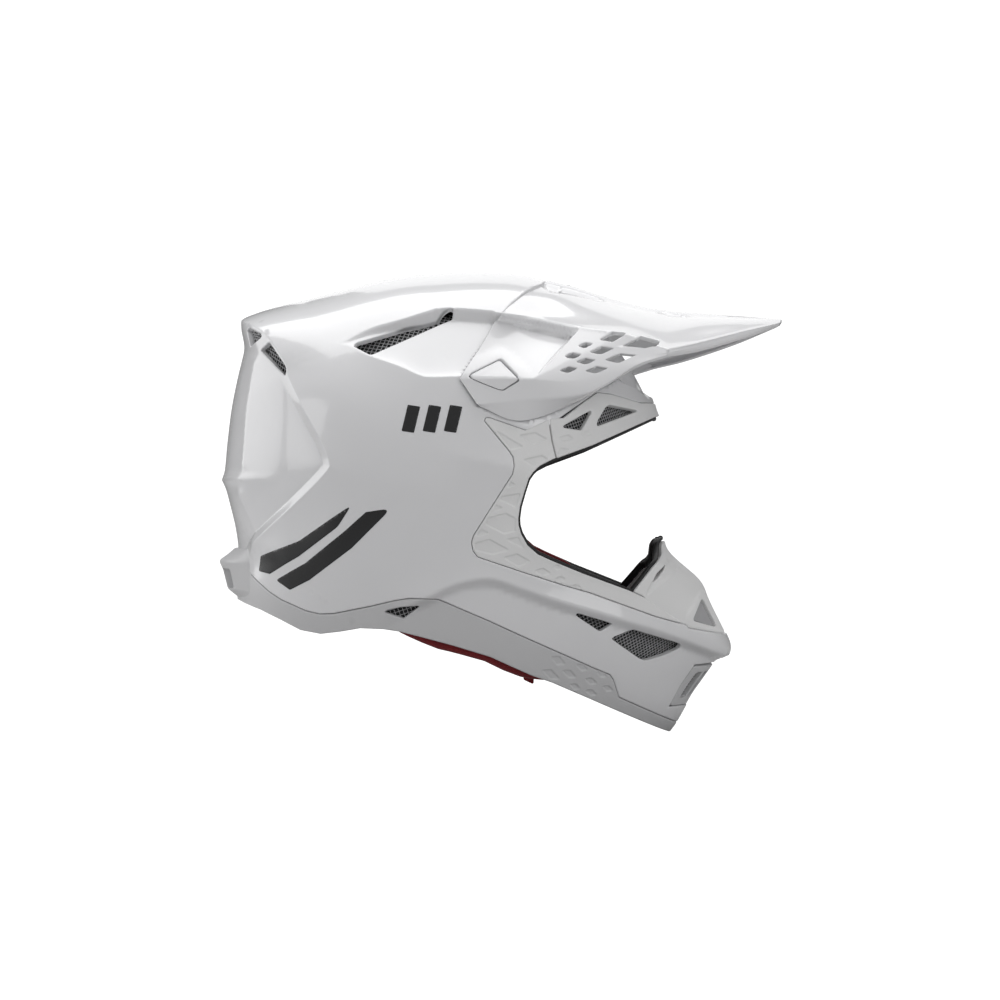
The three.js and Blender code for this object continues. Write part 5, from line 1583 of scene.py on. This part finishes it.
def sink_foam(mesh):
    """Draws the outer faces in where the shell is recessed."""
    points = np.array([v.co[:] for v in mesh.vertices]) * 1000 - SHIFT
    x, y, z = points[:, 0], np.abs(points[:, 1]), points[:, 2]
    width = half_width(x, z)
    normals = surface_normals(SHELL, SHELL.flatten(np.stack([x, z], 1)))
    facing = np.clip(np.abs(normals[:, 1]), 0.3, 1)
    need = 4.6 - np.minimum(gloss_relief(x, z), 0)
    for zone, clearance in CLEARANCES:
        need = np.where(zone(x, z) > 0, np.maximum(need, clearance), need)
    limit = np.maximum(width - need / facing, 0.5)
    outer = (width > 6.0) & (y > limit) & (y > width * 0.5)
    new_y = np.maximum(limit, y - 12.0)
    for vertex, value, moves in zip(mesh.vertices, new_y, outer):
        if moves:
            vertex.co.y = math.copysign(value / 1000, vertex.co.y)
    mesh.update()


for name in ("foam_liner_moulded", "chin_foam_moulded"):
    sink_foam(bpy.data.objects[name].data)

# ---------------------------------------------------------------- strap, rings, snap and anchors
STRAP_X0, STRAP_X1 = -65.5, -40.5   # rear and front edge of the webbing
STRAP_X = (STRAP_X0 + STRAP_X1) / 2
# (y, z) paths
LONG_STRAP = table("""-107.5,118 -107.5,108 -103,101 -90,95 -72,89.5 -50,84.5 -25,81 0,79.2
    22,78.4 38,78.4 43.6,78.8 45.8,81 45.8,90 43.8,92.1 38,92.4 24,92.8 6,93.2""")
SHORT_STRAP = table("107.5,118 107.5,108 103,101 90,95.5 76,91 65.2,88.2")
# (distance from the mid plane, z)
STRAP_PAD = table("96.5,98 90,95.1 82,92.5 73.5,90")
RING_Y = 58.6       # straight bar of the D-rings
# lathe profiles, (radius, height)
RIVET = table("""0,103.6 5.4,103.6 6,104 6,105.2 5.6,105.6 3.9,105.6 3.9,109.2 8.6,109.2
    9,109.6 9,110.4 8.4,111 6,111.2 0,111.2""")
SNAP = table("0,-1.2 5.4,-1.2 6,-0.8 6,0.3 5.6,0.9 4.6,1.2 2.8,1.2 2.2,0.7 0,0.6")


def make_webbing(name, line, thick, inset=0.0, replaces=None):
    """Ribbed webbing with stitched edges along a (y, z) line."""
    normals = left_normals(line)
    length = arc_length(line)
    m = max(8, int(length[-1] / 1.1))
    u = np.linspace(0, length[-1], m)

    def resample(values):
        return np.stack([np.interp(u, length, values[:, k]) for k in (0, 1)], 1)

    line, normals = resample(line), unit(resample(normals))
    x0, x1 = STRAP_X0 + inset, STRAP_X1 - inset
    centre, half = (x0 + x1) / 2, (x1 - x0) / 2
    top = []
    for k in np.linspace(-1, 1, 25):
        stitch = math.exp(-((abs(k) - 0.80) / 0.035) ** 2)
        top.append((centre + k * (half - 0.5),
                    thick / 2 - 0.28 * stitch + 0.10 * math.cos(k * 40)))
    section = (top + [(centre + half, 0)] + [(x, -height) for x, height in top[::-1]]
               + [(centre - half, 0)])
    points = np.zeros((m, len(section), 3))
    for j, (x, height) in enumerate(section):
        height = height + 0.07 * np.sin(u * 2 * math.pi / 2.4) * np.sign(height)
        points[:, j, 0] = x
        points[:, j, 1:] = line + normals * height[:, None]
    grid_object(name, points, "web", "chin_strap", replaces)


def make_strap_pad(side, sign):
    """A soft flattened tube round the webbing, pinched at the ends."""
    raise_left = 0.0 if sign < 0 else 0.25
    line = smooth_line([[sign * y, z + raise_left] for y, z in STRAP_PAD], 8)
    normals = left_normals(line)
    m, around = len(line), 44
    points = np.zeros((m, around, 3))
    for j in range(around):
        w = 2 * math.pi * j / around
        c, s = math.cos(w), math.sin(w)
        across = np.sign(c) * abs(c) ** 0.45 * 13.8
        for i in range(m):
            end = min(i, m - 1 - i) / (m / 2)
            pinch = 0.62 + 0.38 * math.sqrt(1 - (1 - min(1, end * 2.2)) ** 2)
            groove = 1 - 0.12 * math.exp(-((abs(across) - 10.8) / 1.0) ** 2)
            height = np.sign(s) * abs(s) ** 0.8 * 3.4 * pinch * groove
            points[i, j] = (STRAP_X + across, *(line[i] + normals[i] * height))
    grid_object("strap_pad_soft_" + side, points, "knit", "chin_strap", "strap_pad_" + side)


def make_d_ring(body, z):
    w = 15.3
    bow = [[46.5, w], [42.0, w * 0.92], [39.9, w * 0.66]]
    outline = [[RING_Y, -w], [RING_Y, w], *bow, [39.3, 0], *([y, -x] for y, x in bow[::-1])]
    path = densify(rounded(outline, [1.6, 1.6, 3, 3, 3, 6, 3, 3, 3], seg=5), 1.2)
    tube_mesh(body + "_forged", [[[x + STRAP_X, y, z] for y, x in path]], 1.5, 14, "steel", body,
              body, closed=True)


def make_pull_tab(side, sign):
    profile = rounded(table("14.6,40.5 21.4,37.3 21.4,51.4 14.6,55"), 1.2)
    points = np.array([[(x, sign * y, z) for x, z in profile] for y in (65.2, 66.8)])
    obj = grid_object("cheek_pull_webbing_" + side, points, "red", "cheek_pad_" + side,
                      "cheek_pull_tab_" + side)
    bevel = obj.modifiers.new("soft_edges", "BEVEL")
    bevel.width = 0.0003
    bevel.segments = 2
    sharpen(obj)


make_webbing("strap_long_webbing", smooth_line(LONG_STRAP, 7), 2.0, replaces="strap_long")
make_webbing("strap_short_webbing", smooth_line(SHORT_STRAP, 7), 2.0, replaces="strap_short")
_loop = [[RING_Y + 5.805 * math.cos(w), 85.6 + 5.6 * math.sin(w)]
         for w in np.linspace(0, 2 * math.pi, 41)[:-1]]
make_webbing("strap_loop", floats(_loop + _loop[:1]), 1.8, inset=0.4)
for side, sign in SIDES:
    make_strap_pad(side, sign)
    lathe("strap_anchor_rivet_" + side, (STRAP_X, 0, 114), (0, sign, 0), RIVET, "steel",
          replaces="strap_anchor_" + side)
make_d_ring("d_ring_upper", 87.4)
make_d_ring("d_ring_lower", 83.6)
lathe("strap_snap_button", (STRAP_X, 14, 95.6), (0, 0, 1), SNAP, "steel", "chin_strap",
      "strap_snap")
for side, sign in SIDES:
    make_pull_tab(side, sign)


# ---------------------------------------------------------------- mouth vent
class MouthSurface:
    """Front of the chin: flat (-y, z), with x read from a 1 mm grid."""
    def __init__(self):
        line, _ = SHELL.mid_line(1.0)
        line = line[(line[:, 0] > 60) & (line[:, 1] < 75)]
        line = line[np.argsort(line[:, 1])]
        ys, zs = np.linspace(0, 46, 47), np.linspace(8, 60, 53)
        grid = np.array([[front_x(y, z) if y > 0 else float(np.interp(z, line[:, 1], line[:, 0]))
                          for z in zs] for y in ys])
        _, Z = np.meshgrid(ys, zs, indexing="ij")
        self.x = grid + gloss_relief(grid.ravel(), Z.ravel()).reshape(grid.shape) * 0.92

    def point(self, flat):
        y, z = np.clip(np.abs(flat[:, 0]), 0, 46), np.clip(flat[:, 1], 8, 60) - 8
        i = np.clip(y.astype(int), 0, 45)
        j = np.clip(z.astype(int), 0, 51)
        fy, fz = y - i, z - j
        low = self.x[i, j] * (1 - fy) + self.x[i + 1, j] * fy
        high = self.x[i, j + 1] * (1 - fy) + self.x[i + 1, j + 1] * fy
        return np.stack([low * (1 - fz) + high * fz, -flat[:, 0], flat[:, 1]], 1)

    def from_mid(self, flat):
        """The whole width is one piece, so nothing is near a mid plane."""
        return np.full(len(flat), 50.0)


def rectangle(y0, y1, z0, z1, radius):
    return rounded([[y0, z0], [y1, z0], [y1, z1], [y0, z1]], radius)


def make_mouth():
    """A frame with five slots, a filter behind it and wires between."""
    mouth = MouthSurface()
    slots = [rectangle(y - 3.6, y + 3.6, 25.5, 42.5, 1.4) for y in (-20, -10, 0, 10, 20)]
    patch("mouth_grille_moulded", mouth, rectangle(-30.4, 30.4, 20.5, 47.0, 3), slots, thick=3.0,
          spacing=1.7, edge=0.6, side=1, is_flat=True, lift=-0.5, material="trim_base",
          body="mouth_grille", replaces="mouth_grille")
    patch("mouth_filter_foam", mouth, rectangle(-33, 33, 18.5, 49, 2), thick=1.1, spacing=3.0,
          edge=0.3, side=1, is_flat=True, lift=-4.1, material="dark",
          replaces="mouth_filter")
    z_fine, y_fine = np.arange(22, 46, 1.0), np.arange(-29, 29.1, 1.0)
    lines = [np.stack([np.full_like(z_fine, y), z_fine], 1) for y in np.arange(-29, 29.1, 1.7)]
    lines += [np.stack([y_fine, np.full_like(y_fine, z)], 1) for z in np.arange(22, 46, 1.7)]
    tube_mesh("mouth_filter_wires", [mouth.point(line) + [-3.75, 0, 0] for line in lines], 0.24,
              4, "wire", "mouth_grille")


make_mouth()

# ---------------------------------------------------------------- rear exhaust
EXHAUST = table("""-168,126 -180.6,126.5 -184.7,122.9 -191.4,118 -188.5,111.5 -185.4,99
    -178.4,93.4 -168,93.4""")
EXHAUST_RADII = [0, 2.5, 3, 2.5, 4, 4, 3, 0]
OPENINGS = ((-37, -14), (-11, 11), (14, 37))    # y ranges
OPENING_Z = (100.0, 113.0)


def rear_x(y, z):
    """Where the rear of the surface is y off the mid plane, at height z."""
    xs = np.linspace(-200, -120, 1600)
    k = np.where(half_width(xs, np.full_like(xs, z)) > max(y, 0.6))[0]
    return float(xs[k[0]]) if len(k) else -150.0


def opening_cutter(y0, y1):
    verts = to_metres([[x, y, z] for x in (-200, -176.5) for y in (y0, y1) for z in OPENING_Z])
    faces = [(0, 1, 3, 2), (4, 6, 7, 5), (0, 4, 5, 1), (2, 3, 7, 6), (0, 2, 6, 4), (1, 5, 7, 3)]
    mesh = bpy.data.meshes.new("cut")
    mesh.from_pydata(verts.tolist(), [], faces)
    cutter = link_object("cut", mesh)
    recalc_normals(cutter)
    bevel = cutter.modifiers.new("bevel", "BEVEL")
    bevel.width = 0.002
    bevel.segments = 3
    return cutter


def make_exhaust():
    """A rounded block on the back with three openings, wires and a dark plane in them as painted
    shade of the channel behind.
    """
    section = rounded(EXHAUST, EXHAUST_RADII, seg=5)
    m = len(section)
    mid_x = [rear_x(0, z) for z in section[:, 1]]
    shares = np.linspace(-1, 1, 81)
    points = np.zeros((len(shares), m, 3))
    for i, share in enumerate(shares):
        y = 57 * share
        k = max(0.0, 1 - abs(share) ** 3.2) ** 0.8
        for j, (x, z) in enumerate(section):
            buried = 4 if j in (0, m - 1) else 0
            x = rear_x(abs(y), z) + min(0.0, x - mid_x[j]) * k + (1 - k) * 1.2 + buried
            points[i, j] = (x, y, z)
    obj = grid_object("rear_exhaust_moulded", points, "trim_base", replaces="rear_exhaust")
    cutters = [opening_cutter(y0, y1) for y0, y1 in OPENINGS]
    for cutter in cutters:
        cut = obj.modifiers.new("cut", "BOOLEAN")
        cut.operation = "DIFFERENCE"
        cut.object = cutter
        cut.solver = "EXACT"
    bevel = obj.modifiers.new("soft", "BEVEL")
    bevel.width = 0.0006
    bevel.segments = 2
    bevel.limit_method = "ANGLE"
    bevel.angle_limit = math.radians(40)
    bake_modifiers(obj)
    for cutter in cutters:
        bpy.data.objects.remove(cutter)
    sharpen(obj)
    wire_x = -178.2
    lines = [[[wire_x, y, z] for z in np.arange(100, 113.1, 1.0)]
             for y in np.arange(-36, 36.1, 2.0)]
    lines += [[[wire_x, y, z] for y in np.arange(-37, 37.1, 2.0)]
              for z in np.arange(100.6, 113, 2.0)]
    tube_mesh("rear_exhaust_wires", lines, 0.28, 4, "wire")
    # a dark plane behind the wires: painted shade inside the openings
    plane = floats([[[-177.2, y, z] for z in (99.5, 113.5)] for y in (-38, 38)])
    grid_object("rear_exhaust_dark", plane, "dark", wrap=(False, False))


make_exhaust()

# ---------------------------------------------------------------- screws, nuts and peak mounts
CENTRE_AXIS = (math.cos(math.radians(48.7)), 0, math.sin(math.radians(48.7)))
# lathe profiles from the pivot, (radius, height)
CENTRE_SCREW = table("""0,66.5 1.9,66.5 2.3,67 2.3,81.4 5.5,81.4 6,81.8 6,82.9 5.4,83.6 4.4,83.9
    2.6,83.9 2.3,83.6 2.3,82.6 0,82.5""")
CENTRE_NUT = table("""2.6,62.5 4,62.5 4.2,62.8 4.2,68.6 7.6,68.6 8,68.9 8,70.3 7.6,70.6 2.6,70.6
    2.6,62.5""")
SIDE_SCREW = table("""0,88.5 1.9,88.5 2.3,89 2.3,103.9 5.5,103.9 6,104.3 6,105.3 5.2,105.9
    4.2,106.1 2.6,106.1 2.3,105.8 2.3,104.9 0,104.8""")
SIDE_NUT = table("""2.6,90 4,90 4.2,90.3 4.2,96.4 6.6,96.4 7,96.7 7,97.9 6.6,98.2 2.6,98.2
    2.6,90""")
BOSS = table("2.8,100.4 9.5,100.4 10,100.9 10,103.3 9.6,103.7 2.8,103.7 2.8,100.4")

lathe("centre_screw_turned", PIVOT, CENTRE_AXIS, CENTRE_SCREW, "plastic", "centre_screw",
      "centre_screw")
lathe("centre_nut_turned", PIVOT, CENTRE_AXIS, CENTRE_NUT, "steel", replaces="centre_nut")
for side, sign in SIDES:
    axis = (0, sign, 0)
    lathe("side_screw_turned_" + side, PIVOT, axis, SIDE_SCREW, "steel", "side_screw_" + side,
          "side_screw_" + side)
    lathe("side_nut_turned_" + side, PIVOT, axis, SIDE_NUT, "steel",
          replaces="side_nut_" + side)
    lathe("peak_boss_" + side, PIVOT, axis, BOSS, "shell", "peak")


def make_screw_rail(side, sign):
    """A rail of the peak beside the centre screw, curved about the pivot."""
    section = rounded([[78.6, sign * 3.0], [81.0, sign * 3.0], [81.0, sign * 10.3],
                       [78.6, sign * 10.3]], 0.5)
    points = np.array([[(PIVOT_X + r * math.cos(t), y, PIVOT_Z + r * math.sin(t))
                        for r, y in section] for t in np.radians(np.linspace(37.5, 54.0, 15))])
    grid_object("peak_screw_rail_" + side, points, "shell", "peak")


for side, sign in SIDES:
    make_screw_rail(side, sign)

# ---------------------------------------------------------------- frame pieces that stay in view
FRAME_MATERIALS = {
    "shell_gloss": "shell", "trim_satin": "trim", "grey_rubber": "insert",
    "black_rubber": "rubber", "screen_wire": "dark", "black_plastic": "plastic",
    "filter_foam": "dark", "eps_foam": "eps", "slip_film": "slip", "red_fabric": "red",
    "black_webbing": "web", "black_fabric": "knit", "steel": "steel"}
FRAME_SLOTS = {part["node"]: part.get("material_slot")
               for part in frame["record"].get("subparts", [])}


def dress(node, obj):
    material = FRAME_MATERIALS.get(FRAME_SLOTS.get(node), "plastic")
    obj.data.materials.clear()
    obj.data.materials.append(MATERIALS[material])
    obj.modifiers.new("weld", "WELD").merge_threshold = 2e-6
    bevel = obj.modifiers.new("soft_edges", "BEVEL")
    bevel.width = 0.35 / 1000
    bevel.segments = 2
    bevel.limit_method = "ANGLE"
    bevel.angle_limit = math.radians(32)
    bevel.miter_outer = "MITER_ARC"
    sharpen(obj)


replaced = {node for obj in bpy.data.objects for node in obj.get("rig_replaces", [])}
for node, obj in frame["nodes"].items():
    if node not in replaced:
        dress(node, obj)


# ---------------------------------------------------------------- floor, lights, camera (metres)
def floor_material():
    """Mostly glowing white to the camera, grey to other rays, unseen by the camera from behind."""
    material = bpy.data.materials.new("studio_white")
    material.use_nodes = True
    tree = material.node_tree
    new, link = tree.nodes.new, tree.links.new
    shader = tree.nodes["Principled BSDF"]
    shader.inputs["Base Color"].default_value = (0.42, 0.42, 0.42, 1)
    shader.inputs["Roughness"].default_value = 0.9
    shader.inputs["Specular IOR Level"].default_value = 0.1
    rays = new("ShaderNodeLightPath")
    glow = new("ShaderNodeEmission")
    glow.inputs[0].default_value = (1, 1, 1, 1)
    glow.inputs[1].default_value = 1.35
    front = new("ShaderNodeMixShader")
    glow_share = new("ShaderNodeMath")
    glow_share.operation = "MULTIPLY"
    glow_share.inputs[1].default_value = 0.86
    geometry = new("ShaderNodeNewGeometry")
    seen_behind = new("ShaderNodeMath")
    seen_behind.operation = "MULTIPLY"
    clear = new("ShaderNodeBsdfTransparent")
    both = new("ShaderNodeMixShader")
    link(rays.outputs["Is Camera Ray"], glow_share.inputs[0])
    link(glow_share.outputs[0], front.inputs[0])
    link(shader.outputs[0], front.inputs[1])
    link(glow.outputs[0], front.inputs[2])
    link(rays.outputs["Is Camera Ray"], seen_behind.inputs[0])
    link(geometry.outputs["Backfacing"], seen_behind.inputs[1])
    link(seen_behind.outputs[0], both.inputs[0])
    link(front.outputs[0], both.inputs[1])
    link(clear.outputs[0], both.inputs[2])
    link(both.outputs[0], tree.nodes["Material Output"].inputs[0])
    return material


def make_floor():
    """A floor that curves up into a wall on the +Y side."""
    material = floor_material()
    half, wall_y, height, bend = 6.0, 2.6, 4.0, 1.2
    profile = [(-5.0, 0.0), (wall_y - bend, 0.0)]
    profile += [(wall_y - bend + bend * math.sin(a), bend - bend * math.cos(a))
                for a in np.linspace(0.08, math.pi / 2, 20)]
    profile.append((wall_y, height))
    verts = [(x, y, z) for y, z in profile for x in (-half, half)]
    faces = [(2 * i, 2 * i + 1, 2 * i + 3, 2 * i + 2) for i in range(len(profile) - 1)]
    mesh = bpy.data.meshes.new("studio_floor")
    mesh.from_pydata(verts, [], faces)
    mesh.update()
    smooth_faces(mesh)
    obj = link_object("studio_floor", mesh)
    mesh.materials.append(material)


def add_light(name, place, target, size, power, size_y=None):
    light = bpy.data.lights.new(name, "AREA")
    light.energy = power
    light.size = size
    if size_y:
        light.shape = "RECTANGLE"
        light.size_y = size_y
    obj = link_object(name, light)
    obj.location = place
    obj.rotation_euler = (Vector(target) - Vector(place)).to_track_quat("-Z", "Y").to_euler()


def make_world(light_strength, camera_strength):
    """White surroundings, brighter to the camera than to the scene."""
    world = bpy.data.worlds.new("studio")
    bpy.context.scene.world = world
    world.use_nodes = True
    tree = world.node_tree
    lighting = tree.nodes["Background"]
    seen = tree.nodes.new("ShaderNodeBackground")
    for node, strength in ((lighting, light_strength), (seen, camera_strength)):
        node.inputs[0].default_value = (1, 1, 1, 1)
        node.inputs[1].default_value = strength
    rays = tree.nodes.new("ShaderNodeLightPath")
    blend = tree.nodes.new("ShaderNodeMixShader")
    tree.links.new(rays.outputs["Is Camera Ray"], blend.inputs[0])
    tree.links.new(lighting.outputs[0], blend.inputs[1])
    tree.links.new(seen.outputs[0], blend.inputs[2])
    tree.links.new(blend.outputs[0], tree.nodes["World Output"].inputs[0])


def make_camera():
    """Looks along +Y at the helmet's right side."""
    camera = bpy.data.cameras.new("photo_view")
    camera.sensor_width = 36
    camera.lens = 111.2
    camera.clip_end = 50
    obj = link_object("photo_view", camera)
    obj.location = (-0.00045, -2.1, 0.15795)
    obj.rotation_euler = (math.pi / 2, 0, 0)
    bpy.context.scene.camera = obj


make_floor()
add_light("top_soft", (0.0, 0.15, 1.5), (0, 0, 0.15), size=1.6, power=13.2, size_y=1.2)
add_light("key_front", (1.1, -1.5, 1.15), (0.02, 0, 0.17), size=0.9, power=4.0)
add_light("rear_left", (-1.5, -0.9, 0.5), (-0.1, 0, 0.17), size=0.9, power=3.6)
add_light("front_low", (1.5, -1.25, 0.28), (0.08, 0, 0.13), size=0.9, power=4.2)
add_light("rear_panel_glow", (-1.5, 0.25, 0.35), (-0.1, 0, 0.19), size=1.2, power=6.5)
add_light("back_rim", (0.2, 1.6, 1.1), (0, 0, 0.18), size=1.2, power=4)
make_world(light_strength=0.34, camera_strength=1.2)
bpy.context.scene.view_settings.view_transform = "Standard"
make_camera()
